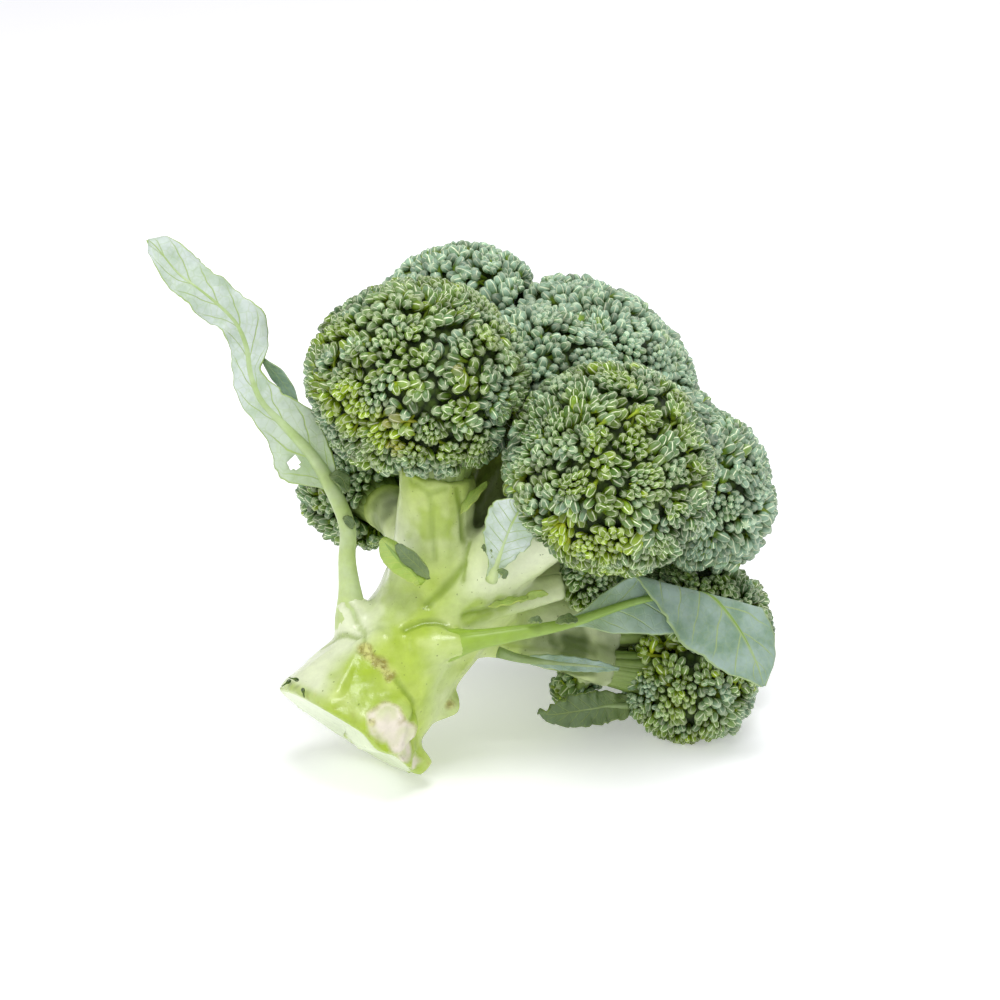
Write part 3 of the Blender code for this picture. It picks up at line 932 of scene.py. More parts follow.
# Painted shade: a darker green along the dented creases, where shade falls.
green = blend_colours(tree, shaded_crease, green, colour(134, 160, 48))
green = blend_colours(tree, cut, green, colour(222, 234, 196))
green = blend_colours(tree, scar, green, colour(236, 228, 210))
fibres = steps(tree, grain(tree, spot, 520.0, 5.0), 0.4, 0.6)
torn = blend_colours(tree, fibres, colour(150, 142, 66), colour(206, 208, 122))
green = blend_colours(tree, brown, green, torn)
specks = steps(tree, grain(tree, spot, 1100.0, 1.0), 0.73, 0.78)
green = blend_colours(tree, maths(tree, "MULTIPLY", specks, 0.6), green,
                      colour(92, 108, 44))
speckled = use_group(tree, mottle, Where=spot, Skin=green, Size=300.0, Strength=0.4)
streaks = grain(tree, add_node(tree, "Mapping", _0=spot, Scale=(1.0, 0.35, 1.0)).outputs[0],
                520.0, 3.0)
relief = maths(tree, "ADD", speckled["Height"], maths(tree, "ADD", maths(
    tree, "MULTIPLY", streaks, 0.5), maths(tree, "MULTIPLY", maths(
        tree, "MULTIPLY", fibres, brown), 1.6)))
dull = maths(tree, "ADD", maths(tree, "MULTIPLY", scar, 0.3), 0.27)
dress(tree, shader, speckled["Colour"], relief, dull, 0.6, 0.3)

# %% [markdown]
# ## The stalk's shape
# The CAD stalk has a crease wherever a branch meets it. A real one grew in one piece and has
# soft hollows there. Remeshing gives it an even fine grid, smoothing melts the creases, and
# then the grid is fine enough for ribs along the stalk, the dished cut end and its scars. The
# stubs of two old leaves are smoothed harder, so that only a low swelling is left.

# %% Smoothing the stalk
STALK_GRID = 0.75 * MM
SOFTENING, EXTRA_SOFTENING = 20, 110
SOFT_SPOTS = (((6.4, -20.5, 4.6), 12.0), ((-2.0, -17.0, 19.0), 13.0), ((9, -19, 31), 11.0),
              ((12, -8, 24), 8.0))


def near_spots(points, spots):
    """How close each point is to the nearest of some spots, from 0 to 1."""
    amount = np.zeros(len(points))
    for centre, size in spots:
        apart = np.linalg.norm(points - np.array(centre), axis=1)
        amount = np.maximum(amount, 1 - ease(apart, size * 0.5, size))
    return amount


stalk = copy_of_node("stalk", "stalk_body")
shape(stalk, "REMESH", mode="VOXEL", voxel_size=STALK_GRID)
shape(stalk, "SMOOTH", factor=0.5, iterations=SOFTENING)
plant = in_plant(places_of(stalk))
soft = near_spots(plant, SOFT_SPOTS) * ease(plant[:, 2], 1.0, 3.5)
group = stalk.vertex_groups.new(name="soft")
for index in np.nonzero(soft > 0.02)[0].tolist():
    group.add([index], float(soft[index]), "REPLACE")
shape(stalk, "SMOOTH", factor=0.5, iterations=EXTRA_SOFTENING, vertex_group="soft")
stalk.vertex_groups.clear()
print("stalk:", len(plant), "vertices,", int((soft > 0.02).sum()), "of them smoothed harder")

# %% Where the creases and spots are
CREASES = (  # corners on the plant, half width and depth in mm
    (((-3.0, -16, 28), (0.2, -16, 31.6), (4, -16, 33.6), (8, -18, 34), (13, -16, 34)), 1.1, 0.7),
    (((-20, -6, 27), (-16, -9, 25.4), (-13, -12, 23), (-10.5, -15, 20)), 0.9, 0.4),
    (((1.4, -17, 16), (4.8, -15.7, 14.8), (8.3, -13.9, 12.8), (10.7, -18.5, 8.9),
      (12.8, -17.4, 3.7)), 0.8, 0.55),
    (((-18.5, -1.5, 15), (-17.1, -4.2, 16.9), (-14.9, -8.7, 19.5), (-11.6, -11.6, 20.4)),
     0.8, 0.5),
    (((-10.8, -12.8, 18.2), (-9.7, -14.9, 13), (-8.7, -17.5, 5.5)), 1.4, -0.5),
    (((-10.2, -27.4, 62.4), (-5.2, -22, 57.7), (-0.4, -18.8, 52.4), (2.5, -18.6, 45.4)),
     0.9, 0.5),
    (((-22, -26.4, 58), (-15.6, -28.4, 56.8), (-10, -23, 51), (-5.8, -19.3, 46)), 0.8, 0.35),
    (((-12.6, -27, 63), (-15.6, -28.4, 57.4)), 0.8, 0.35),
    (((-1.6, -17, 36), (0, -17.3, 42.4), (0.6, -19, 49)), 1.2, 0.6),
    (((9, -17, 38), (12, -15, 43), (15, -13, 50)), 1.0, 0.5),
)
TORN = ((-9.6, -14.8, 18.6), (-7.3, -16.5, 17.6), (-3.5, -17.5, 16.7), (0, -17, 16.2))
LIME_SPOTS = (  # centre on the plant, radius in mm, strength
    ((-11, -23.3, 53), 7.0, 0.8), ((-14, -22, 46), 5.0, 0.5), ((-8.2, -12.2, 36), 9.0, 0.5),
    ((0, -16, 30), 8.0, 0.6), ((9, -19, 31), 6.0, 0.5), ((-4, -16, 11), 9.0, 0.75),
    ((11, -14.4, 41), 5.0, 0.7), ((14, -15, 47), 4.0, 0.7), ((3, -17, 22), 7.0, 0.4),
    ((13, -9, 24), 6.0, 0.4),
)
# Painted shade on the stalk where its branches lie in shadow: centre on the plant, radius in mm,
# strength.
SHADE_SPOTS = (((-21, 6, 53.5), 10.0, 0.6), ((-28, 14, 56.5), 9.0, 0.7),
               ((1, -8, 63), 11.0, 0.3), ((3, -10, 54), 6.0, 0.4), ((-3, -12, 72), 10.0, 0.4),
               ((4, -12, 80), 12.0, 0.5), ((-4, -18, 82), 10.0, 0.5), ((-1, -14, 58), 8.0, 0.3),
               ((2, -15, 52), 5.0, 0.3), ((30, 4, 44), 8.0, 0.5), ((38, 6, 48), 11.0, 0.9),
               ((47, 9, 53), 11.0, 0.55), ((55, 12, 58), 10.0, 0.35))
SCAR_SPOTS = (((5.6, -20.5, 5.2), 6.6, 1.0), ((10.6, -18.2, 4.4), 5.8, 1.0),
              ((4.4, -21.5, 8.0), 5.0, 1.0), ((14.5, -13, 3.2), 5.4, 0.9),
              ((18.5, -7, 2.8), 4.2, 0.7))
BROWN_SPOTS = (((16.9, -3, 19.8), 2.2, 0.9), ((21, -3.5, 4.6), 2.2, 0.8),
               ((2.2, -20.2, 3.4), 1.5, 0.7), ((8.4, -19.6, 7.2), 1.5, 0.6))

# %% Lines and spots laid on the skin


def on_skin(tree, corners):
    """A smooth line through these corners, laid on the stalk's skin. Rows in mm."""
    line = on_table(read_rows(corners, np.linspace(0, 1, 16 * len(corners))))
    return in_plant([tree.find_nearest(Vector(point))[0][:] for point in line])


def beside(points, line):
    """The distance from each point to a line."""
    return np.min([np.linalg.norm(points - place, axis=1) for place in line], axis=0)


def stained(points, spots, ragged, seed):
    """How strongly a list of soft spots stains each point, with ragged edges."""
    amount = np.zeros(len(points))
    edge = ragged * cloud(points, 3.2, seed)
    for centre, size, strength in spots:
        apart = np.linalg.norm(points - np.array(centre), axis=1) + edge * size
        amount = np.maximum(amount, strength * (1 - ease(apart, size * 0.4, size)))
    return amount


# %% Carving the stalk
places, normals = places_of(stalk), normals_of(stalk)
plant, plant_normals = in_plant(places), normals @ TURN
skin_tree = BVHTree.FromPolygons(places.tolist(), [f.vertices[:] for f in stalk.data.polygons])
radius = np.hypot(plant[:, 0] + 1.5, plant[:, 1])
on_cut = (1 - ease(plant[:, 2], 0.5, 1.2)) * (plant_normals[:, 2] < -0.7)
turns = np.arctan2(plant[:, 1], plant[:, 0])
ribs = cloud(np.stack((np.cos(turns) * 2.4, np.sin(turns) * 2.4, plant[:, 2] * 0.03), 1), 1.0)
low = 1 - ease(plant[:, 2], 28, 46)
rise = (0.8 * ribs * low + 0.45 * cloud(plant, 7.0, 2.0) + 0.14 * cloud(plant, 2.4, 3.0))
rise = rise * (1 - on_cut)
dish = on_cut * 0.7 * (1 - ease(radius, 4, 19))
crease_shade = np.zeros(len(plant))
for corners, width, depth in CREASES:
    line = on_skin(skin_tree, corners)
    near = 1 - ease(beside(plant, line), 0.2 * width, 1.5 * width)
    dish += depth * near
    # The deeper a crease, the more painted shade it gets.
    crease_shade = np.maximum(crease_shade, near * min(depth * 1.3, 0.8))
torn_near = beside(plant, on_skin(skin_tree, TORN)) + 1.1 * cloud(plant, 2.2, 7.0)
torn = 1 - ease(torn_near, 0.5, 2.2)
dish += 0.5 * torn * (1 + cloud(plant, 1.2, 12.0))
scarred = stained(plant, SCAR_SPOTS, 0.14, 6.0)
outline_of_scar = ease(scarred, 0.12, 0.3) * (1 - ease(scarred, 0.4, 0.7))
dish += 0.5 * ease(scarred, 0.3, 0.8)
plant = plant + plant_normals * (rise - dish)[:, None]
moved = on_table(plant)
moved[:, 2] = np.maximum(moved[:, 2], 0.0)
move_to(stalk, moved)
stalk.data.shade_smooth()

# %% Painting the stalk
paint(stalk, "cut", on_cut * (1 - ease(radius, 18.0, 19.0)))
rind = (1 - ease(plant[:, 2], 1.2, 4.2)) * ease(radius, 17.6, 19.0)
speckles = ease(cloud(plant, 1.3, 14.0), 0.25, 0.5) * rind
lime = 0.75 * stained(plant, LIME_SPOTS, 0.7, 4.0) + rind * (0.55 + 0.5 * cloud(plant, 6.0, 15.0))
paint(stalk, "lime", np.clip(lime, 0, 1))
paint(stalk, "scar", np.clip(ease(scarred, 0.15, 0.6) * (0.86 + 0.5 * cloud(plant, 2.6, 17.0)),
                             0, 1))
paint(stalk, "brown", np.clip(torn + 0.5 * outline_of_scar * ease(plant[:, 2], 3, 6)
                              + stained(plant, BROWN_SPOTS, 0.3, 7.0) + 0.35 * speckles, 0, 1))
# Painted shade: the hollow under the crown is painted a little darker, on top of the shade spots.
shade_under_crown = ease(plant[:, 2], 50, 60) * (1 - ease(radius, 15, 22))
paint(stalk, "painted_shade", np.clip(stained(plant, SHADE_SPOTS, 0.4, 5.0) + 0.25 * shade_under_crown, 0, 1))
paint(stalk, "shaded_crease", crease_shade)
# Pale where branches pressed together at the top, and painted light: the left side of the lower
# stalk is painted paler, as the lit side.
high = ease(plant[:, 2], 36, 52)
left = ease(-plant[:, 0], 7, 16) * (1 - high)
paint(stalk, "pale", np.clip(0.2 + 0.55 * high * ease(plant[:, 0], -10, 4) + 0.9 * left
                             + 0.6 * cloud(plant, 14.0, 8.0), 0, 0.95))
stalk.data.materials.append(stalk_skin)

# %% [markdown]
# ## Leaves
# A leaf is a thin sheet on a thick stem. The stem runs on as the midrib, and thinner veins
# leave it at a slant and join up near the wavy edge. The upper side is blue-green with wax,
# the underside paler. The sheet's map has the midrib in its middle, so the veins are drawn
# by the material from the distance to the midrib.

# %% Leaf materials


def leaf_skin(name, blade, veins, wax_colour, wax):
    """A leaf's surface: veins on a waxy blade."""
    material, tree, shader, where = new_material(name)
    spot = where.outputs["Object"]
    across_along = add_node(tree, "SeparateXYZ", _0=where.outputs["UV"]).outputs
    aside = maths(tree, "ABSOLUTE", maths(tree, "SUBTRACT", across_along[0], 0.5))
    wobble = maths(tree, "MULTIPLY", grain(tree, spot, 90.0), 0.35)
    slanted = maths(tree, "ADD", maths(tree, "SUBTRACT", across_along[1],
                                       maths(tree, "MULTIPLY", aside, 0.32)),
                    maths(tree, "MULTIPLY", wobble, 0.12))
    side_vein = maths(tree, "ABSOLUTE", maths(tree, "SUBTRACT", maths(
        tree, "FRACT", maths(tree, "MULTIPLY", slanted, 9.0)), 0.5))
    fade = steps(tree, aside, 0.52, 0.3)
    side_vein = maths(tree, "MULTIPLY", steps(tree, side_vein, 0.44, 0.49), fade)
    net = add_node(tree, "TexVoronoi", {"feature": "DISTANCE_TO_EDGE"}, Vector=spot,
                   Scale=400.0).outputs["Distance"]
    net = maths(tree, "MULTIPLY", steps(tree, net, 0.08, 0.01), 0.22)
    midrib = steps(tree, aside, 0.035, 0.008)
    vein = maths(tree, "MAXIMUM", maths(tree, "MAXIMUM", side_vein, net), midrib)
    rim = steps(tree, aside, 0.47, 0.495)
    waxed = use_group(tree, bloom, Where=spot, Skin=blade, Wax=wax_colour, Amount=wax,
                      Patch=120.0)
    greener = maths(tree, "MULTIPLY", steps(tree, across_along[1], 0.4, 0.0), 0.45)
    flushed = blend_colours(tree, greener, waxed["Colour"], veins)
    veined = blend_colours(tree, maths(tree, "MULTIPLY", maths(
        tree, "MAXIMUM", vein, rim), 0.85), flushed, veins)
    speckled = use_group(tree, mottle, Where=spot, Skin=veined, Size=420.0, Strength=0.3)
    height = maths(tree, "SUBTRACT", maths(tree, "MULTIPLY", speckled["Height"], 0.25), vein)
    dull = maths(tree, "ADD", maths(tree, "MULTIPLY", waxed["Gloss"], 0.15), 0.34)
    dress(tree, shader, speckled["Colour"], height, dull, 0.5, 0.3)
    return material


pale_side = leaf_skin("leaf_pale_side", colour(150, 178, 138), colour(162, 190, 96),
                      colour(206, 219, 212), 0.78)
dark_side = leaf_skin("leaf_dark_side", colour(98, 134, 92), colour(160, 184, 122),
                      colour(156, 180, 168), 0.75)
lime_side = leaf_skin("leaf_lime_side", colour(150, 184, 66), colour(196, 212, 104),
                      colour(186, 208, 130), 0.35)
olive_side = leaf_skin("leaf_olive_side", colour(92, 114, 60), colour(136, 156, 88),
                       colour(122, 144, 112), 0.35)

# %% Stem and midrib materials


def rib_skin(name, foot, tip, wax):
    """The surface of a leaf's stem and midrib, from its foot to its tip."""
    material, tree, shader, where = new_material(name)
    spot = where.outputs["Object"]
    around_along = add_node(tree, "SeparateXYZ", _0=where.outputs["UV"]).outputs
    green = blend_colours(tree, steps(tree, around_along[1], 0.0, 0.6), foot, tip)
    groove = maths(tree, "ABSOLUTE", maths(tree, "SUBTRACT", maths(
        tree, "FRACT", maths(tree, "MULTIPLY", around_along[0], 6.0)), 0.5))
    waxed = use_group(tree, bloom, Where=spot, Skin=green, Wax=colour(206, 222, 188),
                      Amount=wax, Patch=150.0)
    speckled = use_group(tree, mottle, Where=spot, Skin=waxed["Colour"], Size=350.0,
                         Strength=0.4)
    grooved = maths(tree, "ADD", speckled["Height"], groove)
    dress(tree, shader, speckled["Colour"], grooved, 0.38, 0.35, 0.2)
    return material


pale_rib = rib_skin("rib_pale", colour(192, 212, 124), colour(158, 188, 106), 0.36)
green_rib = rib_skin("rib_green", colour(148, 180, 46), colour(128, 162, 64), 0.06)
olive_rib = rib_skin("rib_olive", colour(120, 146, 66), colour(128, 150, 84), 0.2)

# %% [markdown]
# ## Shaping a leaf
# The blade starts as a flat grid. Its long side follows the midrib's line on the plant, its
# short side follows the outline given at stations along the leaf, and waves that grow towards
# the edge ruffle it. Then it gets a thickness, with a second material for its other side.

# %% Helpers for leaves
LINE_POINTS, LOBE_POINTS = 200, 60
PLANT_FRONT = (0, -0.98, -0.19)


def leaf_frame(line, facing):
    """At each point of a line: heading, the leaf's face direction, and across it."""
    headings = unit(np.gradient(line, axis=0))
    facing = np.broadcast_to(facing, line.shape)
    across = unit(np.cross(headings, facing))
    return headings, unit(np.cross(across, headings)), across


def turned(across, face, degrees):
    """The across and face directions rolled about the leaf's own line."""
    angle = np.radians(degrees)[:, None]
    return (across * np.cos(angle) + face * np.sin(angle),
            face * np.cos(angle) - across * np.sin(angle))


def blade(name, columns, rows_along, place):
    """A grid sheet whose points are put on the table by place(across, along)."""
    bpy.ops.object.select_all(action="DESELECT")
    bpy.ops.mesh.primitive_grid_add(x_subdivisions=columns, y_subdivisions=rows_along,
                                    size=2)
    piece = bpy.context.object
    piece.name = name
    flat = places_of(piece)
    across, along = flat[:, 0], (flat[:, 1] + 1) / 2
    for loop, corner in zip(piece.data.loops, piece.data.uv_layers[0].data):
        index = loop.vertex_index
        corner.uv = (across[index] / 2 + 0.5, along[index])
    piece.data.uv_layers[0].name = "bud_map"
    move_to(piece, on_table(place(across, along)))
    piece.data.shade_smooth()
    return piece


def thicken(piece, thickness, sides):
    """Gives a blade its thickness and the materials of its two sides."""
    for material in sides:
        piece.data.materials.append(material)
    shape(piece, "SOLIDIFY", thickness=thickness * MM, offset=0, material_offset=1,
          material_offset_rim=0)


def join_to(piece, others):
    """Joins other pieces to this one."""
    pick(piece)
    for other in others:
        other.select_set(True)
    bpy.ops.object.join()

# %% Lobes, and a finished leaf


def lobe(name, line, half_width, roll, sides, ruffle=0.35):
    """A small blade along a line, rounded at both ends."""
    def place(across, along):
        dense = read_rows(line, np.linspace(0, 1, LOBE_POINTS))
        _, faces, over = leaf_frame(dense, PLANT_FRONT)
        index = (along * (LOBE_POINTS - 1)).round().astype(int)
        side, face = turned(over[index], faces[index], np.full(len(along), float(roll)))
        reach = half_width * np.sin(np.pi * np.clip(along, 0.03, 0.985)) ** 0.6
        waves = ruffle * np.sin(along * 17 + across * 2) * across**2
        return (read_rows(line, along) + side * (across * reach)[:, None]
                + face * waves[:, None])

    piece = blade(name, 8, 18, place)
    thicken(piece, 0.4, sides)
    return piece


def finish_leaf(piece, node, line, radii, rib_material, lobes):
    """Adds the stem and the small lobes to a leaf's blade, and hands it to the frame."""
    rib = tubes_piece("rib_" + node, [(on_table(line), np.array(radii) * MM)], 16,
                      rib_material)
    small = [lobe(f"lobe_{i}", *row) for i, row in enumerate(lobes)]
    join_to(piece, [rib] + small)
    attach(piece, "root")
    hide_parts(node)
    print(piece.name, len(piece.data.polygons), "faces")

# %% [markdown]
# ### Leaves that follow a bent line
# Each of these leaves is a table of stations from foot to tip: the midrib's place on the
# plant, how far the blade reaches to the left and right of it, and its roll. Notches and
# lobes along the edge come from quick waves added to the outline.

# %% Leaf tables
LEAVES = {
    "leaf_long_left": {
        "facing": PLANT_FRONT, "thickness": 0.5, "ruffle": 1.5, "teeth": 0.24,
        "sides": (pale_side, dark_side), "blade_from": 0.3, "grid": (24, 110),
        "rib_skin": pale_rib, "hole": ((-49.2, -7.7, 49.4), 1.3),
        "line": ((-9, -2.5, 17.5), (-15, -4.4, 23.6), (-19.6, -5.8, 29.6), (-24.6, -7, 36),
                 (-29.2, -9.4, 43.1), (-38.3, -8.7, 49.6), (-46.2, -8.5, 53.6), (-55.2, -9.1, 56),
                 (-63.7, -10.2, 58.1), (-69.7, -11, 62.3), (-74.4, -11.9, 67.3),
                 (-79.5, -13.1, 70.7), (-85.5, -13.9, 72.2), (-93, -14.1, 73.1),
                 (-99.1, -13.2, 73.8), (-107.1, -13, 76.5), (-110.1, -12.8, 77.1)),
        "left": (0.5, 0.5, 0.5, 0.5, 0.6, 3.2, 9.8, 6.4, 5.0, 5.2, 4.2, 4.0, 4.8, 4.6, 4.0,
                 2.4, 0.3),
        "right": (0.5, 0.5, 0.5, 0.5, 0.6, 2.2, 5.2, 7.4, 5.6, 3.0, 5.4, 7.4, 5.8, 5.8, 6.2,
                  4.2, 0.3),
        "roll": (0, 0, 0, 0, 0, 0, 2, 6, 12, 16, 4, -4, -8, -10, -12, -12, -12),
        "rib": (5.4, 4.6, 3.0, 2.25, 2.1, 1.95, 1.65, 1.4, 1.2, 1.1, 1.0, 0.9, 0.8, 0.7, 0.6,
                0.45, 0.25),
        "lobes": ((((-39.6, -10.2, 51.6), (-36.6, -11.6, 52), (-33.6, -11.4, 49.8)), 2.0, 25,
                   (olive_side, dark_side)),
                  (((-30.9, -11.6, 43.9), (-29.2, -12.2, 43.8), (-27.4, -11.8, 42.8)), 1.2, 0,
                   (olive_side, dark_side)),
                  (((-69.5, -9.6, 67.4), (-63, -9.2, 65.6), (-56, -9.2, 62.4)), 1.9, -20,
                   (dark_side, dark_side))),
    },
    "leaf_small_pale": {
        "facing": (0.1, -0.97, 0.0), "thickness": 0.5, "ruffle": 0.8, "teeth": 0.12,
        "sides": (pale_side, dark_side), "blade_from": 0.0, "grid": (16, 30),
        "rib_skin": pale_rib,
        "line": ((8.6, -24, 48.4), (7.6, -28.4, 51.6), (6.4, -32.4, 55.8), (5.4, -36.4, 60),
                 (5.1, -39.6, 63.6), (4.9, -41.4, 66.6)),
        "left": (1.6, 2.0, 4.8, 6.4, 5.8, 0.6), "right": (1.6, 2.2, 5.4, 6.8, 5.6, 0.6),
        "roll": (0, 0, 0, 0, 0, 0), "rib": (1.6, 1.1, 0.75, 0.6, 0.45, 0.25),
        "lobes": ((((5.6, -29.6, 52.2), (3.6, -31, 53.2), (2.2, -31.2, 53.0)), 1.1, 30,
                   (olive_side, pale_side)),
                  (((8.6, -28.6, 50.6), (10.2, -29.8, 50.6), (11, -29.6, 49.4)), 1.0, 30,
                   (olive_side, pale_side))),
    },
    "leaf_curled_stub": {
        "facing": (-0.3, -0.8, 0.5), "thickness": 0.5, "ruffle": 0.4, "teeth": 0.06,
        "sides": (lime_side, lime_side), "blade_from": 0.0, "grid": (16, 28),
        "rib_skin": green_rib, "curl": -1.0,
        "lobes": ((((-4.6, -22, 40.6), (-8.4, -23.9, 41.6), (-12.9, -24, 42.4),
                    (-15.9, -23.4, 43.4)), 2.1, 25, (olive_side, dark_side)),),
        "line": ((-5.5, -20.5, 39.6), (-9, -22.1, 40.2), (-13.5, -22.2, 41),
                 (-17.2, -21.4, 42.3), (-19.7, -20.6, 43.2)),
        "left": (1.4, 2.8, 3.4, 3.0, 1.2), "right": (1.4, 2.5, 2.7, 2.0, 0.7),
        "roll": (0, 10, 25, 30, 35), "rib": (1.3, 1.0, 0.8, 0.6, 0.3),
    },
    "leaf_narrow_low": {
        "facing": (0.1, -0.95, -0.3), "thickness": 0.5, "ruffle": 0.4, "teeth": 0.2,
        "sides": (dark_side, olive_side), "blade_from": 0.3, "grid": (10, 40),
        "rib_skin": olive_rib,
        "line": ((20, -3, 37.2), (25.8, -2.2, 39), (34, -1.4, 43), (42.6, -0.6, 47.6),
                 (48.6, 0.2, 50.6)),
        "left": (0.5, 1.2, 2.0, 1.6, 0.4), "right": (0.5, 1.0, 1.6, 1.6, 0.4),
        "roll": (0, 0, 0, 0, 0), "rib": (1.5, 1.1, 0.9, 0.7, 0.4),
    },
    "leaf_low_tip": {
        "facing": (0.1, -0.97, -0.2), "thickness": 0.5, "ruffle": 1.4, "teeth": 0.2,
        "sides": (olive_side, dark_side), "blade_from": 0.0, "grid": (16, 36),
        "rib_skin": olive_rib,
        "line": ((57.5, 18.5, 47), (52.3, 17.5, 43.5), (49.5, 17.2, 41), (45.5, 16.6, 37.5),
                 (41.3, 15.6, 34), (37.6, 14.6, 32)),
        "left": (3.0, 4.2, 4.6, 4.2, 2.8, 0.4), "right": (2.6, 4.0, 4.6, 4.4, 3.0, 0.4),
        "roll": (-20, -10, 0, 10, 25, 40), "rib": (1.0, 0.8, 0.65, 0.5, 0.4, 0.2),
    },
    "leaf_behind_left": {
        "facing": (-0.1, -0.97, 0.0), "thickness": 0.5, "ruffle": 0.5, "teeth": 0.1,
        "sides": (dark_side, pale_side), "blade_from": 0.0, "grid": (16, 30),
        "rib_skin": pale_rib,
        "line": ((-24.5, -2, 63.5), (-27.5, -2, 64.5), (-32.5, -2, 65.5), (-37.2, -1, 66),
                 (-41.2, -0.8, 66.8)),
        "left": (1.2, 3, 3.6, 3, 0.4), "right": (1.2, 3, 3.6, 3, 0.4),
        "roll": (0, 0, 0, 0, 0), "rib": (1.2, 0.9, 0.7, 0.5, 0.3),
    },
}

# %% Building them


def outline(reach, teeth, along, seed):
    """The blade's reach with notches cut in its edge."""
    waves = np.array([noise.noise(Vector((t * 16, seed, 0))) for t in along])
    small = np.array([noise.noise(Vector((t * 48, seed, 5))) for t in along])
    return reach * (1 + teeth * (waves + 0.6 * small))


def cut_hole(piece, centre, radius):
    """Takes a small round bite out of a blade."""
    middle = Vector(on_table(centre))
    select_vertices(piece, lambda co: (co - middle).length < radius * MM)
    bpy.ops.mesh.delete(type="VERT")
    bpy.ops.object.mode_set(mode="OBJECT")


def leaf_on_line(node, leaf, seed):
    """One leaf whose midrib follows its table's line."""
    start = leaf["blade_from"]

    def place(across, along):
        at = start + (1 - start) * along
        line = read_rows(leaf["line"], at)
        dense = read_rows(leaf["line"], np.linspace(0, 1, LINE_POINTS))
        headings, faces, sides = leaf_frame(dense, leaf["facing"])
        index = (at * (LINE_POINTS - 1)).round().astype(int)
        roll = read_numbers(leaf["roll"], at)
        side, face = turned(sides[index], faces[index], roll)
        reach = np.where(across > 0, read_numbers(leaf["right"], at),
                         read_numbers(leaf["left"], at))
        reach = outline(reach, leaf["teeth"], at, seed + np.sign(across[0]))
        reach = reach * ease(along, -0.02, 0.04)
        waves = np.sin(at * 34 + 2.2 * np.sign(across) + seed) + np.sin(at * 57 + seed)
        ruffle = (leaf["ruffle"] * waves * 0.5 + leaf.get("curl", 0)) * across**2
        return line + side * (across * reach)[:, None] + face * ruffle[:, None]

    sheet = blade("blade_" + node.replace("leaf_", ""), *leaf["grid"], place)
    if "hole" in leaf:
        cut_hole(sheet, *leaf["hole"])
    thicken(sheet, leaf["thickness"], leaf["sides"])
    count = 4 * len(leaf["line"])
    at = np.linspace(0, 1, count)
    line = read_rows(leaf["line"], at)
    _, faces, _ = leaf_frame(line, leaf["facing"])
    radii = read_numbers(leaf["rib"], at)
    sunk = line - faces * (0.55 * radii * ease(at, start, start + 0.2))[:, None]
    finish_leaf(sheet, node, sunk, radii, leaf["rib_skin"], leaf.get("lobes", ()))


for seed, (node, leaf) in enumerate(LEAVES.items()):
    leaf_on_line(node, leaf, seed * 3.1)

# %% [markdown]
# ### The folded leaf
# The largest leaf is bent over on itself. It is drawn flat first, lying against the florets,
# with its midrib's line and its outline. Every point beyond the fold line is then rolled
# round a small radius and laid back, as one folds paper without creasing it.

# %% Folded leaf
FOLDED_FOOT = np.array((12.2, -17.9, 33.6))
FOLDED_RIGHT, FOLDED_UP = np.array((0.85, -0.10, 0.52)), np.array((-0.53, -0.16, 0.83))
FOLDED_OUT = np.cross(FOLDED_RIGHT, FOLDED_UP)
FOLD_POINT, FOLD_LINE = np.array((56, 10.8)), np.array((0.970, -0.242))
FOLD_RADIUS, FOLD_TURN, LEAF_LIFT = 1.6, math.radians(168), -0.0035
FOLDED_SINK = 0.55
FOLDED_LINE = ((-12, -3.0), (-5, -1.0), (1, 0.2), (11.5, 2), (20, 3.4), (27, 5.2), (33, 7.2),
               (40.5, 9.6), (48, 11.2), (56, 12), (64, 14.2), (72, 18), (79, 23),
               (83.6, 27.6))
FOLDED_LEFT = (0.4, 0.4, 0.4, 0.4, 0.8, 1.6, 3.8, 6.4, 9.4, 12.4, 13.8, 12.0, 7.6, 0.5)
FOLDED_RIGHT_SIDE = (0.4, 0.4, 0.4, 0.4, 0.8, 1.6, 5.4, 8.4, 9.8, 10, 9.6, 8.4, 5.6, 0.5)
FOLDED_RIB = (4.6, 4.2, 2.7, 1.95, 1.5, 1.25, 1.1, 0.95, 0.85, 0.75, 0.6, 0.5, 0.35, 0.2)
FOLDED_FROM = 0.36
FOLDED_LOBES = (
    (((21.8, -22.6, 44.8), (23.2, -23.6, 46.2), (24.6, -23.4, 46.2)), 0.9, 35,
     (olive_side, dark_side)),
    (((27.6, -22.8, 48.2), (29.6, -23.8, 50.4), (32, -23.4, 51.4)), 1.5, 40,
     (olive_side, dark_side)),
)

# %% Bending the flat leaf over


def fold(flat, height):
    """Points of the flat leaf, bent over the fold line and set on the plant."""
    over = np.array((-FOLD_LINE[1], FOLD_LINE[0]))
    beyond = (flat - FOLD_POINT) @ over
    angle = np.clip(beyond / FOLD_RADIUS, 0, FOLD_TURN)
    rest = np.maximum(beyond - FOLD_TURN * FOLD_RADIUS, 0)
    lever = FOLD_RADIUS - height
    step = lever * np.sin(angle) + rest * np.cos(angle)
    lifted = FOLD_RADIUS - lever * np.cos(angle) + rest * np.sin(angle)
    bent = angle > 0
    flat = flat + over * np.where(bent, step - beyond, 0)[:, None]
    lift = (np.where(bent, lifted, height) + LEAF_LIFT * flat[:, 0] ** 2
            - FOLDED_SINK * np.maximum(-flat[:, 0], 0))
    return (FOLDED_FOOT + flat[:, :1] * FOLDED_RIGHT + flat[:, 1:] * FOLDED_UP
            + lift[:, None] * FOLDED_OUT)


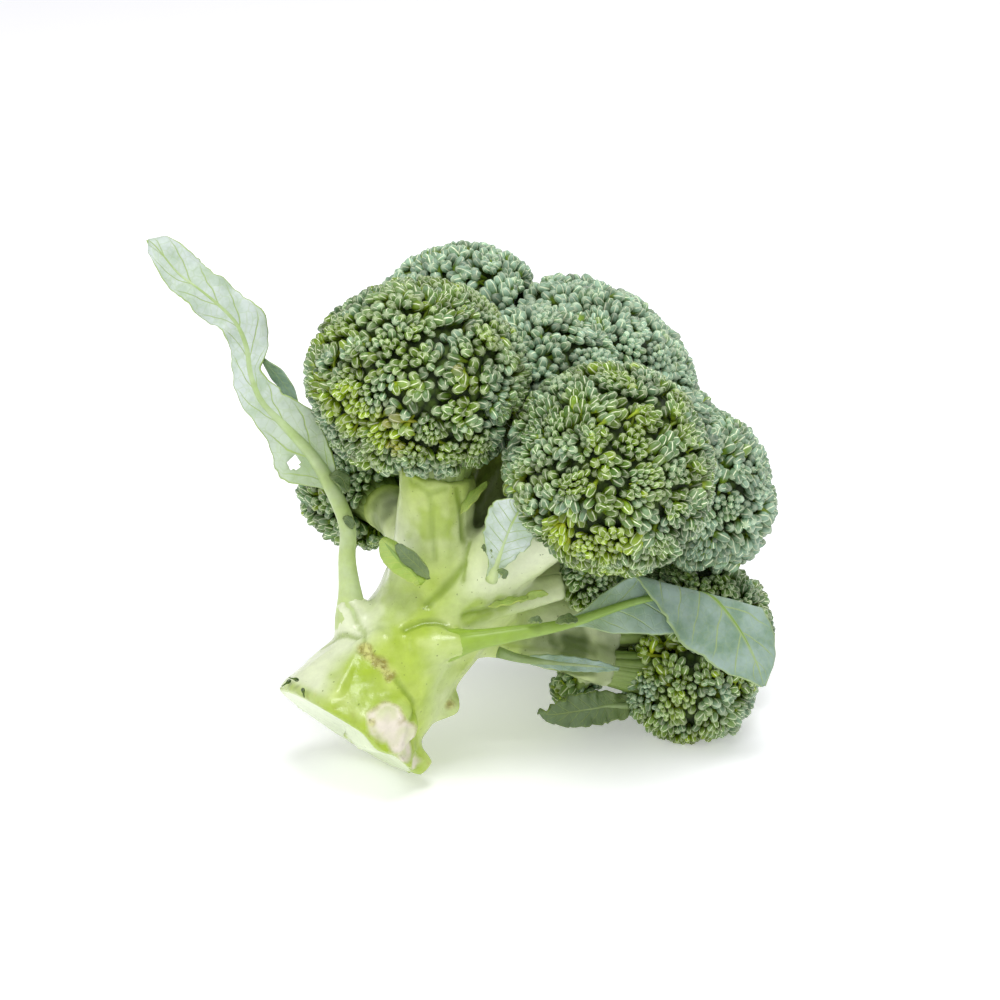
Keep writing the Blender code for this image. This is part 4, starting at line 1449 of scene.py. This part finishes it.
def place_folded(across, along):
    """The folded leaf's blade."""
    at = FOLDED_FROM + (1 - FOLDED_FROM) * along
    line = read_rows(FOLDED_LINE, at)
    dense = read_rows(FOLDED_LINE, np.linspace(0, 1, LINE_POINTS))
    index = (at * (LINE_POINTS - 1)).round().astype(int)
    heading = unit(np.gradient(dense, axis=0))[index]
    side = np.stack((heading[:, 1], -heading[:, 0]), 1)
    reach = np.where(across > 0, read_numbers(FOLDED_RIGHT_SIDE, at),
                     read_numbers(FOLDED_LEFT, at))
    reach = outline(reach, 0.07, at, 2.0)
    ruffle = 0.55 * (np.sin(at * 40 + across * 2) + np.sin(at * 63)) * across**2 * 0.6
    return fold(line + side * (across * reach)[:, None], ruffle)


sheet = blade("blade_folded_right", 24, 110, place_folded)
at = np.linspace(0, 1, 60)
radii = read_numbers(FOLDED_RIB, at)
line = fold(read_rows(FOLDED_LINE, at), 0.45 * radii * ease(at, 0.2, 0.4))
thicken(sheet, 0.5, (dark_side, dark_side))
finish_leaf(sheet, "leaf_folded_right", line, radii, green_rib, FOLDED_LOBES)

# %% [markdown]
# ### Bracts on the stalk
# A few narrow green scales, left where buds began to grow, stand on the stalk itself. They
# are joined to the stalk, and so are a few loose crumbs of bud near its cut end.

# %% Bracts and crumbs
BRACTS = (
    (((-6.6, -23.6, 58.6), (-6.4, -25.2, 61.5), (-6.0, -25.6, 64.6), (-5.0, -25.6, 68.4)),
     1.4, 35, (lime_side, lime_side)),
    (((11.6, -16.6, 43.6), (14.9, -18, 47), (18.8, -17.6, 50.8)), 1.2, 50,
     (lime_side, lime_side)),
    (((17.5, -15.4, 49), (20, -17, 52.6), (22.6, -16.4, 54.2)), 1.1, -30,
     (lime_side, lime_side)),
)
CRUMBS = (((-20.2, -8.6, 2.8), (0.4, 0.2, 1)), ((-16.6, -14.9, 2.0), (-0.6, 0.5, 0.7)),
          ((-18.4, -12.4, 3.4), (0.8, 0.4, 0.3)))

bracts = [lobe(f"bract_{i}", *row) for i, row in enumerate(BRACTS)]
crumb_places = on_table([place for place, _ in CRUMBS])
crumb_axes = unit(np.array([heading for _, heading in CRUMBS], float)) @ TURN.T
count = len(CRUMBS)
placed = copies(BUD, crumb_places, crumb_axes, np.full(count, 1.1 * MM),
                np.full(count, 1.7 * MM))
crumbs = put_in_scene("crumbs", mesh_of_copies("crumbs", BUD, placed))
crumbs.data.materials.append(bud_skin)
join_to(stalk, bracts + [crumbs])
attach(stalk, "root")
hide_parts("stalk")
print("stalk:", len(stalk.data.polygons), "faces")

# %% [markdown]
# ## Floor and light
# The head lies on a plain white table in a bright studio. White light comes from all round,
# soft lamps stand above and behind it, and the shadow gathers under the crown.

# %% Floor
FLOOR_SIDE = 8.0
bpy.ops.object.select_all(action="DESELECT")
bpy.ops.mesh.primitive_plane_add(size=FLOOR_SIDE, location=(0, 0, 0))
floor = bpy.context.object
floor.name = "floor"
paper, tree, shader, where = new_material("white_table")
dust = grain(tree, where.outputs["Object"], 3.0)
tree.links.new(blend_colours(tree, dust, colour(243, 243, 249), colour(246, 246, 251)),
               shader.inputs["Base Color"])
shader.inputs["Roughness"].default_value = 0.55
shader.inputs["Emission Color"].default_value = (1, 1, 1, 1)
shader.inputs["Emission Strength"].default_value = 0.32
floor.data.materials.append(paper)
floor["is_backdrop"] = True

# %% Light
SKY = 0.50
LAMPS = {  # direction from the head, distance, side, power in watts
    "key": ((0.0, -0.4, 1.0), 1.1, 0.4, 5.5),
    "fill": ((-0.9, -0.6, 0.7), 1.3, 0.9, 2.6),
    "back": ((0.5, 0.8, 0.9), 1.3, 0.6, 4.6),
    "low": ((0.5, -1.0, 0.15), 1.3, 0.9, 1.0),
}
world = bpy.data.worlds.new("studio")
world.use_nodes = True
tree = world.node_tree
seen = add_node(tree, "LightPath").outputs["Is Camera Ray"]
strength = maths(tree, "ADD", maths(tree, "MULTIPLY", seen, 1.0 - SKY), SKY)
tree.links.new(strength, tree.nodes["Background"].inputs["Strength"])
tree.nodes["Background"].inputs["Color"].default_value = (1, 1, 1, 1)
bpy.context.scene.world = world
for name, (direction, distance, side, power) in LAMPS.items():
    lamp_data = bpy.data.lights.new(name, "AREA")
    lamp_data.shape, lamp_data.size, lamp_data.energy = "SQUARE", side, power
    lamp = put_in_scene(name, lamp_data)
    away = Vector(direction).normalized()
    lamp.location = away * distance + Vector((0, 0, 0.06))
    lamp.rotation_mode = "QUATERNION"
    lamp.rotation_quaternion = away.to_track_quat("Z", "Y")
bpy.context.scene.view_settings.view_transform = "Standard"

# %% Measure and finish
low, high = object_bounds()
print("visual box in mm:", [round(side * 1000, 1) for side in high - low])
